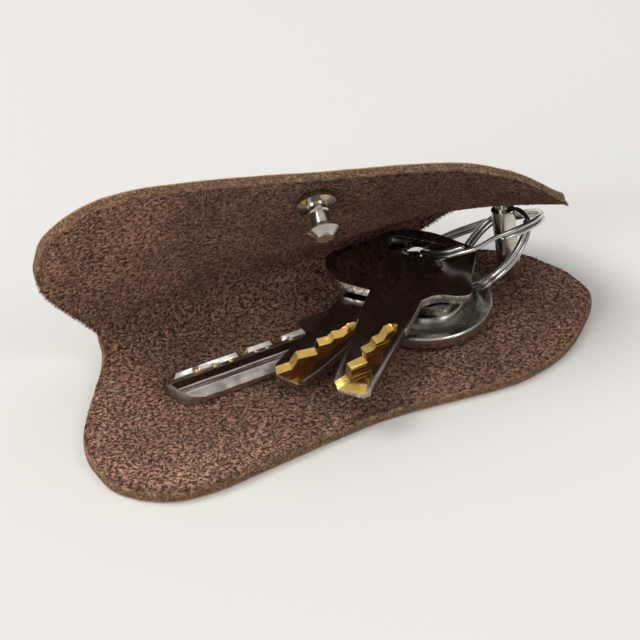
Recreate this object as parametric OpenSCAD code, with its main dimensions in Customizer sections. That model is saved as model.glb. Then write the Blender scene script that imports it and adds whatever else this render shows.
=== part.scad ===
// Leather key case lying open on a table, with three keys on two split rings.
// X runs along the fold, Y from the front edge to the fold, Z up.
// The leather is one hide pattern, flat in front, bent round at the back and
// spread open above. It is worked out by one sheet function, so that every
// piece of it follows the same bend.

/* [Leather] */
// Length of the case along its fold
case_l = 113; // [108:0.5:118]
// Depth of a flap in front of the bend
flap_d = 39.8; // [37:0.2:43]
// Thickness of the leather
leather_t = 2.8; // [2.5:0.1:3]
// Radius of the bend at the middle of the leather
bend_r = 7.5; // [7.3:0.1:8]
// Opening between the flaps at the left end of the bend, degrees
open_left_angle = 72; // [62:1:80]
// Opening between the flaps at the right end of the bend, degrees
open_right_angle = 13.5; // [12:0.5:18]
// Opening of the outer part of the upper flap at its left end, degrees
flare_left_angle = 69; // [62:1:80]
// Opening of the outer part of the upper flap at its right end, degrees
flare_right_angle = 62; // [56:1:68]
// Straight leather between the bend and the start of the flare
flare_start = 10; // [8:0.5:12]
// Length of leather over which the flare turns
flare_l = 25; // [20:1:28]

/* [Key post] */
// Distance of the post from the right end of the case
post_inset = 11.6; // [10.5:0.1:12.5]
// Distance of the post's foot in front of the bend
post_depth = 9.8; // [9:0.1:10.6]
// Diameter of the post
post_d = 4.8; // [4.4:0.1:5.2]
// Lean of the post towards the fold, degrees
post_lean_angle = 11; // [8:0.5:12]
// Lean of the post to the left, degrees
post_side_lean_angle = 3; // [0:0.5:4]
// Diameter of the heads on the post
post_head_d = 8.4; // [7.6:0.1:8.8]
// Thickness of the heads on the post
post_head_t = 0.9; // [0.7:0.05:1]
// Diameter of the screw in the post
post_screw_d = 3; // [2.6:0.1:3.2]

/* [Stud] */
// Distance of the stud from the left end of the case
stud_x = 55.4; // [50:0.1:60]
// Distance of the stud from the fold's middle line, along the leather
stud_reach = 37.6; // [35:0.1:38.4]
// Height of the stud above the leather
stud_h = 8.5; // [8:0.1:9.5]
// Diameter of the stud's flange
stud_flange_d = 8; // [7:0.1:9]
// Thickness of the stud's flange
stud_flange_t = 1; // [0.8:0.05:1.4]
// Diameter of the stud's shaft
stud_shaft_d = 4.5; // [4:0.1:5]
// Diameter of the stud's head
stud_head_d = 6.6; // [6:0.1:7.2]
// Height of the stud's head
stud_head_h = 2.9; // [2.6:0.1:3.3]
// Diameter of the stud's screw
stud_screw_d = 2.6; // [2.2:0.1:3]
// Thickness of the head of the stud's screw
stud_screw_t = 1; // [0.8:0.05:1.4]

/* [Rings] */
// Radius of the rings at the middle of their wire
ring_r = 12.9; // [12.7:0.1:13.2]
// Radius of the second ring at the middle of its wire
ring_b_r = 9.6; // [9.4:0.1:9.8]
// Width of the flattened wire, across the ring
wire_w = 1.1; // [0.9:0.05:1.2]
// Thickness of the wire along the ring's axis
wire_t = 0.95; // [0.8:0.05:1]

/* [Stacked keys] */
// Length of a stacked key
key_l = 49.6; // [48.5:0.1:50]
// Width of a stacked key's bow
key_bow_w = 31.8; // [30.5:0.1:32.5]
// Thickness of a stacked key
key_t = 2; // [1.8:0.05:2.1]
// Width of a stacked key's blade at the tip
key_blade_w = 7.6; // [7:0.1:8]
// Length of the milled pocket in the blade
pocket_l = 20; // [18:0.5:21]
// Depth of the milled pocket
pocket_depth = 1; // [0.7:0.05:1.2]
// Length of the ring slot in the upper key's bow
slot_l = 13.6; // [12.5:0.1:14]
// Length of the ring slot in the lower key's bow
slot_2_l = 8.6; // [8.2:0.1:9.4]
// Width of the ring slot
slot_w = 5; // [4.6:0.1:5.2]

/* [Dimple key] */
// Length of the dimple key's blade
dimple_blade_l = 33; // [31:0.5:34]
// Width of the dimple key's blade
dimple_blade_w = 8.2; // [7.6:0.1:8.6]
// Thickness of the dimple key's blade
dimple_blade_t = 2.6; // [2.3:0.05:2.8]
// Length of the neck between the blade and the bow
neck_l = 13.5; // [12.5:0.5:14.5]
// Width of the neck
neck_w = 13; // [12:0.1:14]
// Diameter of the round bow
bow_d = 27.8; // [27:0.1:28.2]
// Thickness of the round bow at its rim
bow_t = 3; // [2.8:0.05:3.1]
// Depth of the channel inside the rim
channel_depth = 0.6; // [0.4:0.05:0.8]
// Inner radius of the rim
rim_r = 10.7; // [10.4:0.1:11]
// Diameter of the cap in the middle of the bow
cap_d = 16.4; // [15.6:0.1:17]
// Height of the cap above the rim
cap_rise = 0.7; // [0.5:0.05:0.8]

/* [Hidden] */
$fn = 64;

// Clearances and small shared sizes
gap = 0.3;
fit_gap = 0.05;
overrun = 1;
rest_gap = 0.1;
groove = 0.3;
step_l = 0.15;

// Outline of one flap: share of the case's length, share of the flap's depth
left_edge_shares = [[0.093, 0.053], [0.064, 0.163], [0.022, 0.342], [0.0035, 0.482],
    [0, 0.6], [0.007, 0.76], [0.0345, 0.874]];
front_edge_shares = [[0.0345, 0.874], [0.073, 0.952], [0.118, 0.992], [0.178, 1], [0.248, 0.98],
    [0.412, 0.932], [0.493, 0.917], [0.562, 0.925], [0.627, 0.945], [0.7035, 0.972]];
front_cut_share = 0.976;
front_right_shares = [[0.774, 0.975], [0.847, 0.927], [0.908, 0.837], [0.964, 0.7035]];
right_edge_shares = [[0.964, 0.7035], [0.993, 0.61], [1, 0.5075], [0.992, 0.349], [0.969, 0.206]];
// Ends of the bend: share of the case's length, share of half the bend
left_end_shares = [[0.139, -1], [0.1345, -0.61]];
right_end_shares = [[0.952, 0.61], [0.913, 0.115], [0.885, -0.153], [0.8115, -0.586],
    [0.754, -0.841]];
cut_share = 0.7345;
open_linear_share = 0.13;
edge_steps = 3;

// The bend: its middle line, height and the line where post tab and flap part
fold_angle = 120;
bend_z = leather_t / 2 + bend_r;
fold_half = arc_len(bend_r, fold_angle) / 2;
cut_x = cut_share * case_l;

// The bend is drawn in two leaves that slide in each other
leaf_gap = 0.3;
leaf_root_angle = 26;
leaf_flap_angle = 44;
open_play_angle = 17;

function lerp(a, b, t) = a + (b - a) * t;
function arc_len(r, a) = r * a * PI / 180;
function spline_point(a, b, c, d, t) =
    (2 * b + (c - a) * t + (2 * a - 5 * b + 4 * c - d) * t * t
        + (3 * b - a - 3 * c + d) * t * t * t) / 2;
function spline(p, n) = [
    for (i = [0:len(p) - 2], k = [0:n - 1])
        spline_point(p[max(i - 1, 0)], p[i], p[i + 1], p[min(i + 2, len(p) - 1)], k / n),
    p[len(p) - 1]];

// Points of the pattern as [x, depth in front of the bend]
function flap_points(shares) = [for (p = shares) [p[0] * case_l, p[1] * flap_d]];
function bend_points(shares) = [for (p = shares) [p[0] * case_l, p[1] * fold_half]];
left_side = spline(concat(bend_points(left_end_shares), flap_points(left_edge_shares)), edge_steps);
front_left = spline(concat(flap_points(front_edge_shares),
    [[cut_x, front_cut_share * flap_d]]), edge_steps);
front_right = spline(concat([[cut_x, front_cut_share * flap_d]],
    flap_points(front_right_shares)), edge_steps);
right_side = spline(flap_points(right_edge_shares), edge_steps);
notch_side = spline(concat([[right_edge_shares[4][0] * case_l, right_edge_shares[4][1] * flap_d]],
    bend_points(right_end_shares), [[cut_x, -fold_half]]), edge_steps);
outline = concat(left_side, front_left, front_right, right_side, notch_side);
left_table = [for (p = left_side) [p[1], p[0]]];
notch_table = [for (p = notch_side) [p[1], p[0]]];
function fold_depth(s) = abs(s - fold_half) - fold_half;
function left_x(s) = lookup(fold_depth(s), left_table);
function right_x(s) = s < fold_half ? lookup(-s, notch_table) : cut_x;

// The leather's surface at length s past the bend's start, d outside its middle
function opening(x) = let (q = x / case_l)
    open_left_angle - (open_left_angle - open_right_angle) * lerp(q * q, q, open_linear_share);
function flare(x) = lerp(flare_left_angle, flare_right_angle, x / case_l);
function bend_end(x) = arc_len(bend_r, 180 - opening(x));
function chord_share(a) = a == 0 ? 1 : sin(a / 2) / arc_len(1 / 2, a);
function direction(a) = [cos(a), sin(a)];
function sheet_turn(x, s) = s <= 0 ? 0
    : s <= bend_end(x) ? s / arc_len(bend_r, 1)
    : 180 - lerp(opening(x), flare(x),
        min(max(s - bend_end(x) - flare_start, 0), flare_l) / flare_l);
function sheet_yz(x, s) = let (
    turn = 180 - opening(x),
    past = s - bend_end(x),
    straight = min(past, flare_start),
    curved = min(max(past - flare_start, 0), flare_l),
    outer = max(past - flare_start - flare_l, 0),
    bent = sheet_turn(x, s) - turn)
    s <= 0 ? [s, leather_t / 2]
    : past <= 0 ? [bend_r * sin(sheet_turn(x, s)), bend_z - bend_r * cos(sheet_turn(x, s))]
    : [bend_r * sin(turn), bend_z - bend_r * cos(turn)] + straight * direction(turn)
        + curved * chord_share(bent) * direction(turn + bent / 2) + outer * direction(turn + bent);
function sheet(x, s, d) = let (p = sheet_yz(x, s), a = sheet_turn(x, s))
    [x, p[0] + d * sin(a), p[1] - d * cos(a)];

// A closed skin between two grids of points, both with the same rows and columns
function quad(a, b, c, d) = [[a, b, c], [a, c, d]];
module skin(inner, outer) {
    rows = len(inner);
    columns = len(inner[0]);
    count = rows * columns;
    points = [for (row = concat(inner, outer)) each row];
    faces = [
        for (j = [0:rows - 2], i = [0:columns - 2]) let (a = j * columns + i)
            each quad(a, a + columns, a + columns + 1, a + 1),
        for (j = [0:rows - 2], i = [0:columns - 2]) let (a = count + j * columns + i)
            each quad(a, a + 1, a + columns + 1, a + columns),
        for (i = [0:columns - 2]) each quad(i, i + 1, count + i + 1, count + i),
        for (i = [0:columns - 2]) let (a = (rows - 1) * columns + i)
            each quad(a + 1, a, count + a, count + a + 1),
        for (j = [0:rows - 2]) let (a = j * columns)
            each quad(a + columns, a, count + a, count + a + columns),
        for (j = [0:rows - 2]) let (a = (j + 1) * columns - 1)
            each quad(a, a + columns, count + a + columns, count + a)];
    polyhedron(points, faces, convexity = 6);
}
// A patch between four edges, each a list of [x, s]
function patch(bottom, top, left, right) = let (n = len(bottom) - 1, m = len(left) - 1)
    [for (j = [0:m]) [for (i = [0:n]) let (u = i / n, v = j / m)
        lerp(bottom[i], top[i], v) + lerp(left[j], right[j], u)
            - lerp(lerp(bottom[0], bottom[n], u), lerp(top[0], top[n], u), v)]];
function raised(rows, d) = [for (row = rows) [for (p = row) sheet(p[0], p[1], d)]];

// Where the post, the rings and the keys are, from the post's foot
post_x = case_l - post_inset;
ring_a_place = [-5, 3.71, 12.27];
ring_a_tilt_angle = 32.9;
ring_a_way_angle = 96.3;
ring_b_place = [-4.7, -0.1, 10.85];
ring_b_tilt_angle = 44.6;
ring_b_way_angle = 151.6;
key_1_ring_angle = 89.5;
key_1_hold = [0, -2.55];
key_1_way_angle = 42.8;
key_1_slope_angle = 3.9;
key_1_lift = 0.35;
key_2_ring_angle = 72.5;
key_2_hold = [1.4, 0.1];
key_2_way_angle = 23.8;
key_2_slope_angle = 5.05;
key_2_lift = 0.15;
bow_place = [-21.8, -2];
dimple_way_angle = 1.8;

function ring_point(place, tilt, way, r, a) = [post_x, -post_depth, 0] + place
    + r * cos(a) * [cos(tilt) * cos(way), cos(tilt) * sin(way), -sin(tilt)]
    + r * sin(a) * [-sin(way), cos(way), 0];

// The whole case stands with the middle of its lowest face at the origin
front_y = -flap_d;
back_y = bend_r + leather_t / 2;
module placed() translate([-case_l / 2, -(front_y + back_y) / 2, 0]) children();
module at_post() translate([post_x, -post_depth, leather_t])
    rotate([-post_lean_angle, -post_side_lean_angle, 0]) children();

// Lower flap: the flat part of the hide, with the stud's buttonhole
buttonhole_place = [52.9, -27.3];
buttonhole_d = 3.6;
slit_end = [42.5, -29.8];
slit_w = 0.5;
module lower_flap() color([0.3, 0.2, 0.15]) placed() difference() {
    linear_extrude(leather_t) intersection() {
        polygon([for (p = outline) [p[0], -p[1]]]);
        translate([-overrun, -flap_d - overrun]) square([case_l + 2 * overrun, flap_d + overrun]);
    }
    translate([buttonhole_place[0], buttonhole_place[1], -overrun])
        cylinder(d = buttonhole_d, h = leather_t + 2 * overrun);
    slit_run = buttonhole_place - slit_end;
    translate([slit_end[0], slit_end[1], -overrun])
        rotate([0, 0, atan2(slit_run[1], slit_run[0])]) translate([0, -slit_w / 2, 0])
            cube([norm(slit_run), slit_w, leather_t + 2 * overrun]);
    at_post() {
        translate([0, 0, -leather_t - overrun])
            cylinder(d = post_head_d + 2 * gap, h = leather_t + overrun - foot_seat);
        translate([0, 0, -leather_t]) cylinder(d = post_d + 2 * fit_gap, h = leather_t + overrun);
    }
}

// Bend: full thickness at its root, then its inner leaf alone
fold_columns = 24;
fold_root_rows = 3;
fold_leaf_rows = 10;
function fold_leaf_end(x) = bend_end(x) - arc_len(bend_r, open_play_angle);
module fold() color([0.3, 0.2, 0.15]) placed() {
    root_end = arc_len(bend_r, leaf_root_angle);
    root_s = [for (j = [0:fold_root_rows]) root_end * j / fold_root_rows];
    root = [for (s = root_s) [for (i = [0:fold_columns])
        [lerp(left_x(s), max(right_x(s), cut_x), i / fold_columns), s]]];
    leaf = [for (j = [0:fold_leaf_rows]) [for (i = [0:fold_columns]) let (
        w = j / fold_leaf_rows,
        reach = lerp(root_end, fold_leaf_end(0), w),
        x = lerp(left_x(reach), cut_x - gap / 2, i / fold_columns))
        [x, lerp(root_end + step_l, fold_leaf_end(x), w)]]];
    skin(concat(raised(root, -leather_t / 2), raised(leaf, -leather_t / 2)),
        concat(raised(root, leather_t / 2), raised(leaf, -leaf_gap / 2)));
}

// Upper flap: the outer leaf in the bend, then the full hide
flap_leaf_rows = 7;
flap_rows = 14;
module upper_flap() color([0.3, 0.2, 0.15]) placed() difference() {
    edge_x = cut_x - gap / 2;
    columns = len(front_left) - 1;
    start = arc_len(bend_r, leaf_flap_angle);
    first_x = left_x(bend_end(left_end_shares[0][0] * case_l));
    step = function (x) bend_end(x) + step_l;
    corner = front_left[0][1] + 2 * fold_half;
    end_s = front_left[columns][1] + 2 * fold_half;
    leaf = [for (j = [0:flap_leaf_rows]) [for (i = [0:columns]) let (
        w = j / flap_leaf_rows,
        x = lerp(left_x(lerp(start, bend_end(first_x), w)), edge_x, i / columns))
        [x, lerp(start, bend_end(x), w)]]];
    bottom = [for (i = [0:columns]) let (x = lerp(first_x, edge_x, i / columns)) [x, step(x)]];
    top = [for (p = front_left) [min(p[0], edge_x), p[1] + 2 * fold_half]];
    left = [for (j = [0:flap_rows]) let (s = lerp(step(first_x), corner, j / flap_rows)) [left_x(s), s]];
    right = [for (j = [0:flap_rows]) [edge_x, lerp(step(edge_x), end_s, j / flap_rows)]];
    main = patch(bottom, top, left, right);
    skin(concat(raised(leaf, leaf_gap / 2), raised(main, -leather_t / 2)),
        concat(raised(leaf, leather_t / 2), raised(main, leather_t / 2)));
    at_stud() translate([0, 0, -leather_t - overrun])
        cylinder(d = stud_screw_d + 2 * fit_gap, h = leather_t + 2 * overrun);
}

// Post tab: the right end of the upper flap, a little shorter than the lower one and clamped on the post
tab_share = 0.93;
function tab_x(x) = cut_x + (x - cut_x) * tab_share;
module post_tab() color([0.3, 0.2, 0.15]) placed() difference() {
    edge_x = cut_x + gap / 2;
    columns = len(front_right) - 1;
    notch = [for (i = [len(notch_side) - 1:-1:0]) notch_side[i]];
    side = [for (i = [len(right_side) - 1:-1:0]) right_side[i]];
    tab_notch = [for (i = [0:columns]) notch[round(i * (len(notch) - 1) / columns)]];
    bottom = [for (p = tab_notch) [max(tab_x(p[0]), edge_x), p[1] + 2 * fold_half]];
    top = [for (p = front_right) [max(tab_x(p[0]), edge_x), p[1] + 2 * fold_half]];
    right = [for (p = side) [tab_x(p[0]), p[1] + 2 * fold_half]];
    left = [for (j = [0:len(side) - 1]) [edge_x, lerp(bottom[0][1], top[0][1], j / (len(side) - 1))]];
    rows = patch(bottom, top, left, right);
    skin(raised(rows, -leather_t / 2), raised(rows, leather_t / 2));
    at_post() cylinder(d = post_screw_d + 2 * fit_gap, h = 2 * (bend_z + bend_r));
}

// Post: a barrel with a sunk foot below, and a screw with its head above the tab
foot_seat_share = 0.32;
foot_seat = foot_seat_share * leather_t;
function wedge(a, b) = a[0] * b[1] - a[1] * b[0];
// Height along the leaning post at which it meets the tab, d outside its middle
function post_meets(d) = let (
    turn = 180 - opening(post_x),
    from = [(bend_r + d) * sin(turn) + post_depth, bend_z - (bend_r + d) * cos(turn) - leather_t])
    wedge(from, direction(turn)) / wedge([sin(post_lean_angle), cos(post_lean_angle)], direction(turn));
tab_s = bend_end(post_x) + post_depth;
tab_across = sheet(post_x - overrun, tab_s, 0) - sheet(post_x + overrun, tab_s, 0);
tab_slope = norm([tan(opening(post_x) - post_lean_angle),
    tab_across[2] / tab_across[0] - tan(post_side_lean_angle)]);
barrel_top = post_meets(-leather_t / 2) - post_d / 2 * tab_slope - gap / 2;
curl_share = 1.6;
head_low = post_meets(leather_t / 2) + post_head_d / 2 * tab_slope * curl_share + gap / 2;
post_line_d = post_d - 2 * groove;
post_line_share = 0.62;
module post_barrel() color([0.6, 0.58, 0.55]) placed() at_post() difference() {
    union() {
        translate([0, 0, -foot_seat - post_head_t]) cylinder(d = post_head_d, h = post_head_t);
        translate([0, 0, -foot_seat]) cylinder(d = post_d, h = foot_seat + barrel_top);
    }
    translate([0, 0, overrun]) cylinder(d = post_screw_d + 2 * fit_gap, h = barrel_top);
    translate([0, 0, post_line_share * barrel_top]) rotate_extrude()
        translate([post_line_d / 2, 0]) square([post_d, groove]);
}
module post_screw() color([0.6, 0.58, 0.55]) placed() at_post() {
    translate([0, 0, 2 * overrun]) cylinder(d = post_screw_d, h = head_low - 2 * overrun);
    translate([0, 0, head_low]) cylinder(d = post_head_d, h = post_head_t);
}

// Stud on the upper flap, and its screw from outside
module at_stud() {
    s = fold_half + stud_reach;
    p = sheet(stud_x, s, -leather_t / 2);
    turn = sheet_turn(stud_x, s);
    across = sheet(stud_x + overrun, s, -leather_t / 2) - sheet(stud_x - overrun, s, -leather_t / 2);
    tilt = atan2(cos(turn) * across[2] - sin(turn) * across[1], across[0]);
    translate(p) rotate([turn, 0, 0]) rotate([0, -tilt, 0]) children();
}
module stud() color([0.65, 0.63, 0.6]) placed() at_stud() difference() {
    neck_d = stud_shaft_d - 2 * groove;
    head_z = stud_h - stud_head_h;
    rotate_extrude() polygon([[0, gap / 2], [stud_flange_d / 2, gap / 2],
        [stud_flange_d / 2, stud_flange_t], [stud_shaft_d / 2, stud_flange_t + groove],
        [stud_shaft_d / 2, head_z / 2], [neck_d / 2, head_z / 2 + groove], [neck_d / 2, head_z],
        [stud_head_d / 2, head_z + stud_head_h / 2], [neck_d / 2, stud_h - groove],
        [neck_d / 2 - groove, stud_h], [0, stud_h]]);
    cylinder(d = stud_screw_d + 2 * fit_gap, h = 2 * head_z, center = true);
}
module stud_screw() color([0.6, 0.58, 0.55]) placed() at_stud() {
    low = -leather_t - gap / 2;
    translate([0, 0, low - stud_screw_t]) cylinder(d = stud_flange_d, h = stud_screw_t);
    translate([0, 0, low - stud_screw_t])
        cylinder(d = stud_screw_d, h = stud_h - stud_head_h - overrun + leather_t + stud_screw_t);
}

// Split ring: flattened wire wound twice, with the crossing between its ends
wire_share = [[1, 0.5], [0.6, 1], [-0.6, 1], [-1, 0.5], [-1, -0.5], [-0.6, -1], [0.6, -1], [1, -0.5]];
wire_steps = 108;
cross_angle = 14;
end_angle = 19;
module split_ring(r) {
    first = end_angle;
    last = 720 - end_angle;
    sections = [for (k = [0:wire_steps]) let (
        a = lerp(first, last, k / wire_steps),
        t = min(max((a - 360 + cross_angle) / (2 * cross_angle), 0), 1),
        level = (t * t * (3 - 2 * t) - 1 / 2) * (wire_t + fit_gap))
        [for (p = wire_share) let (q = r + p[0] * wire_w / 2)
            [q * cos(a), q * sin(a), level + p[1] * wire_t / 2]]];
    sides = len(wire_share);
    faces = [
        [for (i = [0:sides - 1]) i],
        for (k = [0:wire_steps - 1], i = [0:sides - 1])
            each quad(k * sides + i, (k + 1) * sides + i,
                (k + 1) * sides + (i + 1) % sides, k * sides + (i + 1) % sides),
        [for (i = [sides - 1:-1:0]) wire_steps * sides + i]];
    polyhedron([for (c = sections) each c], faces, convexity = 8);
}
ring_a_end_angle = 150;
ring_b_end_angle = 200;
module ring_a() color([0.75, 0.73, 0.7]) placed()
    translate([post_x, -post_depth, 0] + ring_a_place) rotate([0, ring_a_tilt_angle, ring_a_way_angle])
        rotate([0, 0, ring_a_end_angle]) split_ring(ring_r);
module ring_b() color([0.75, 0.73, 0.7]) placed() at_ring_b()
    rotate([0, 0, ring_b_end_angle]) split_ring(ring_b_r);
module at_ring_b() translate([post_x, -post_depth, 0] + ring_b_place)
    rotate([0, ring_b_tilt_angle, ring_b_way_angle]) children();

// Stacked keys: one blank twice, a blade with a milled pocket and a wide bow with a slot
key_outline_shares = [[0.1, 0.135], [0.395, 0.15], [0.4, 0.165], [0.58, 0.17], [0.58, 0.32],
    [0.659, 0.49], [0.8, 0.4], [0.944, 0.25], [0.986, 0.138], [1, -0.03], [0.98, -0.2],
    [0.955, -0.333], [0.82, -0.39], [0.688, -0.45], [0.655, -0.4], [0.63, -0.25], [0.58, -0.17],
    [0.4, -0.165], [0.395, -0.15], [0.1, -0.135]];
slot_at_share = 0.888;
// Milled pocket: share of its length, share of half the blade; one wall steps in, the other waves
pocket_shares = [[0.015, 0.9], [0.165, 0.42], [0.325, 0.62], [0.475, 0.02], [0.585, 0.33], [0.68, 0],
    [0.76, 0.03], [0.825, -0.24], [0.945, -0.28], [1, -0.45], [1, -0.7], [0.9, -0.9], [0.82, -0.8],
    [0.73, -0.86], [0.65, -0.73], [0.56, -0.72], [0.5, -0.86], [0.44, -0.86], [0.37, -0.65],
    [0.3, -0.6], [0.225, -0.76], [0.12, -0.84], [0, -0.88]];
tip_chamfer = 1.2;
module stacked_key(slot, set_back = 0) {
    half = key_blade_w / 2;
    pocket = [for (p = pocket_shares) [p[0] * pocket_l, p[1] * half]];
    difference() {
        translate([0, 0, -key_t / 2]) linear_extrude(key_t) polygon(concat(
            [[0, -half + tip_chamfer], [0, half - tip_chamfer], [tip_chamfer, half]],
            [for (p = key_outline_shares) [p[0] * key_l, p[1] * key_bow_w]],
            [[tip_chamfer, -half]]));
        translate([0, 0, key_t / 2 - pocket_depth]) linear_extrude(pocket_depth + overrun)
            polygon(concat([[-overrun, pocket[0][1]]], pocket, [[-overrun, pocket[len(pocket) - 1][1]]]));
        translate([slot_at_share * key_l + set_back, 0, -key_t]) {
            run = (slot - slot_w) / 2;
            for (side = [-1, 1]) translate([0, side * run, 0]) cylinder(d = slot_w, h = 2 * key_t);
            translate([-slot_w / 2, -run, 0]) cube([slot_w, 2 * run, 2 * key_t]);
        }
    }
}
module on_ring_a(angle, way, slope, hold, lift = 0) {
    p = ring_point(ring_a_place, ring_a_tilt_angle, ring_a_way_angle, ring_r, angle);
    translate(p) rotate([0, 0, way]) rotate([0, -slope, 0])
        translate([-slot_at_share * key_l - hold[0], -hold[1], lift]) children();
}
module key_1() color([0.7, 0.66, 0.55]) placed()
    on_ring_a(key_1_ring_angle, key_1_way_angle, key_1_slope_angle, key_1_hold, key_1_lift) stacked_key(slot_l);
module key_2() color([0.7, 0.66, 0.55]) placed()
    on_ring_a(key_2_ring_angle, key_2_way_angle, key_2_slope_angle, key_2_hold, key_2_lift) stacked_key(slot_2_l, key_2_hold[0]);

// Dimple key: flat on the leather, its round bow threaded by the second ring
blade_groove_w = 0.8;
blade_groove_depth = 0.5;
groove_out_share = 0.3;
dimple_d = 1.9;
dimple_foot_d = 0.7;
dimple_depth = 0.5;
dimple_out_share = 0.72;
dimple_share = [0.16, 0.24, 0.32, 0.4, 0.5, 0.6, 0.7, 0.79, 0.88];
// Drawn-in tip of the dimple key: how far behind the tip, share of half the blade
dimple_tip = [[6, -1], [2, -0.67], [0.8, -0.33], [0, 0.64], [1.2, 0.92], [2.4, 1]];
ring_hole_w = 2.4;
ring_hole_from_angle = -16;
ring_hole_to_angle = 18;
ring_b_seam_angle = 290;
bow_foot_chamfer = 1.3;
module at_bow() translate([post_x + bow_place[0], bow_place[1] - post_depth, leather_t + rest_gap])
    rotate([0, 0, dimple_way_angle]) children();
module dimple_key() color([0.7, 0.7, 0.7]) placed() difference() {
    at_bow() difference() {
        union() {
            rotate_extrude() polygon([[0, 0], [bow_d / 2 - bow_foot_chamfer, 0],
                [bow_d / 2, bow_foot_chamfer], [bow_d / 2, bow_t - groove],
                [bow_d / 2 - groove, bow_t], [rim_r, bow_t], [rim_r - groove, bow_t - channel_depth],
                [0, bow_t - channel_depth]]);
            neck_blade();
        }
        translate([0, 0, bow_t - 2 * channel_depth])
            cylinder(d = cap_d + 2 * fit_gap, h = 2 * channel_depth + overrun);
        rotate([0, 0, ring_hole_from_angle]) translate([0, 0, -overrun])
            rotate_extrude(angle = ring_hole_to_angle - ring_hole_from_angle)
                translate([(cap_d / 2 + rim_r) / 2 - ring_hole_w / 2 + groove, 0])
                    square([ring_hole_w, bow_t + 2 * overrun]);
    }
    at_ring_b() rotate([0, 0, ring_b_seam_angle]) rotate_extrude() translate([ring_b_r, 0])
        square([wire_w + 2 * gap, 2 * wire_t + 2 * gap], center = true);
}
module neck_blade() {
    tip = -bow_d / 2 - neck_l - dimple_blade_l + overrun;
    neck_start = tip + dimple_blade_l;
    half = dimple_blade_w / 2;
    difference() {
        union() {
            linear_extrude(dimple_blade_t) polygon(concat([for (p = dimple_tip) [tip + p[0], p[1] * half]],
                [[neck_start, half], [neck_start, -half]]));
            translate([neck_start, -neck_w / 2, 0])
                cube([neck_l + overrun, neck_w, bow_t - channel_depth / 2]);
        }
        for (side = [-1, 1]) translate([tip - overrun, side * half * groove_out_share - blade_groove_w / 2,
            dimple_blade_t - blade_groove_depth])
            cube([dimple_blade_l + overrun, blade_groove_w, blade_groove_depth + overrun]);
        for (q = dimple_share)
            translate([tip + q * dimple_blade_l, half * dimple_out_share, dimple_blade_t - dimple_depth])
                cylinder(d1 = dimple_foot_d, d2 = 2 * dimple_d - dimple_foot_d, h = 2 * dimple_depth);
    }
}
module bow_cap() color([0.72, 0.72, 0.72]) placed() at_bow()
    translate([0, 0, bow_t - 2 * channel_depth]) rotate_extrude() {
        top = 2 * channel_depth + cap_rise;
        polygon([[0, 0], [cap_d / 2, 0], [cap_d / 2, top - 2 * groove],
            [cap_d / 2 - groove, top - groove], [cap_d / 2 - groove, top], [0, top]]);
    }

lower_flap();
fold();
post_tab();
upper_flap();
post_barrel();
post_screw();
stud();
stud_screw();
ring_a();
ring_b();
key_1();
key_2();
dimple_key();
bow_cap();
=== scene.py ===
"""Key case: one thick hide folded round a key post, with two flat keys, a dimple key and split rings.

Every new surface is worked out with numpy as whole arrays and put where the
CAD part has it. Lengths in this file are in millimetres until they go into a
mesh, and the hide follows the same sheet as the part: flat on the table,
round the bend, then spread open above.
"""

import math

import bmesh
import bpy
import numpy as np
from bpy.props import FloatProperty, FloatVectorProperty, IntProperty, PointerProperty
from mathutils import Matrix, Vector


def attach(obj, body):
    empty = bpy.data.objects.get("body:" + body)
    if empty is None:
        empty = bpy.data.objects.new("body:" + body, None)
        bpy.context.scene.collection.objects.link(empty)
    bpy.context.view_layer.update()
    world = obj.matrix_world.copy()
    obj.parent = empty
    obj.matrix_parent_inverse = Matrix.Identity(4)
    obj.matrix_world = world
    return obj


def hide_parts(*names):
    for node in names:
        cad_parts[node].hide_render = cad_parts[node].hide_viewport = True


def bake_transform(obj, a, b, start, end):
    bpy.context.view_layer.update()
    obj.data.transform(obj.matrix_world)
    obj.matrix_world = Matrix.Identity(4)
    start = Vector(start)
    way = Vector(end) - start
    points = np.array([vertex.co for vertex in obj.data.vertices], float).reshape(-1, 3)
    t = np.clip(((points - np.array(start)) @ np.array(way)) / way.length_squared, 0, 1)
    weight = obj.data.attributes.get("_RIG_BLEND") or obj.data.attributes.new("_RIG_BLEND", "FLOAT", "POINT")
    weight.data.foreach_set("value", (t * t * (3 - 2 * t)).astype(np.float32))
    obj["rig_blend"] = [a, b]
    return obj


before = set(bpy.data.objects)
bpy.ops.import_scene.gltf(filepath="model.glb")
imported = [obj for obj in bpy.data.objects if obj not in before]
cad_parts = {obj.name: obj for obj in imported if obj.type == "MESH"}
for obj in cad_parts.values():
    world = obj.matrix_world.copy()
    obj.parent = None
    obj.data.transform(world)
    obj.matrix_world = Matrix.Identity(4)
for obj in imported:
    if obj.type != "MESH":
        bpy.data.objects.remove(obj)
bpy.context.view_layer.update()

bl_info = {
    "name": "Folded Hide Key Case",
    "version": (1, 0, 0),
    "blender": (4, 5, 0),
    "location": "View3D > Sidebar > Key Case",
    "description": "Dresses the key case: hide, nap, post, rings, keys and stage",
    "category": "Object",
}

MM = 0.001

# The hide, in millimetres, from the case's left end and the start of its bend
CASE_L = 113.0
FLAP_D = 39.8
HIDE_T = 2.8
BEND_R = 7.5
OPEN_LEFT, OPEN_RIGHT, OPEN_LINEAR = 72.0, 13.5, 0.13
FLARE_LEFT, FLARE_RIGHT = 69.0, 62.0
FLARE_START, FLARE_L = 10.0, 25.0
BEND_Z = HIDE_T / 2 + BEND_R
FOLD_HALF = math.radians(120) * BEND_R / 2
CUT_X = 0.7345 * CASE_L
SHIFT = np.array([-CASE_L / 2, (FLAP_D - BEND_R - HIDE_T / 2) / 2, 0.0])

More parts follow.
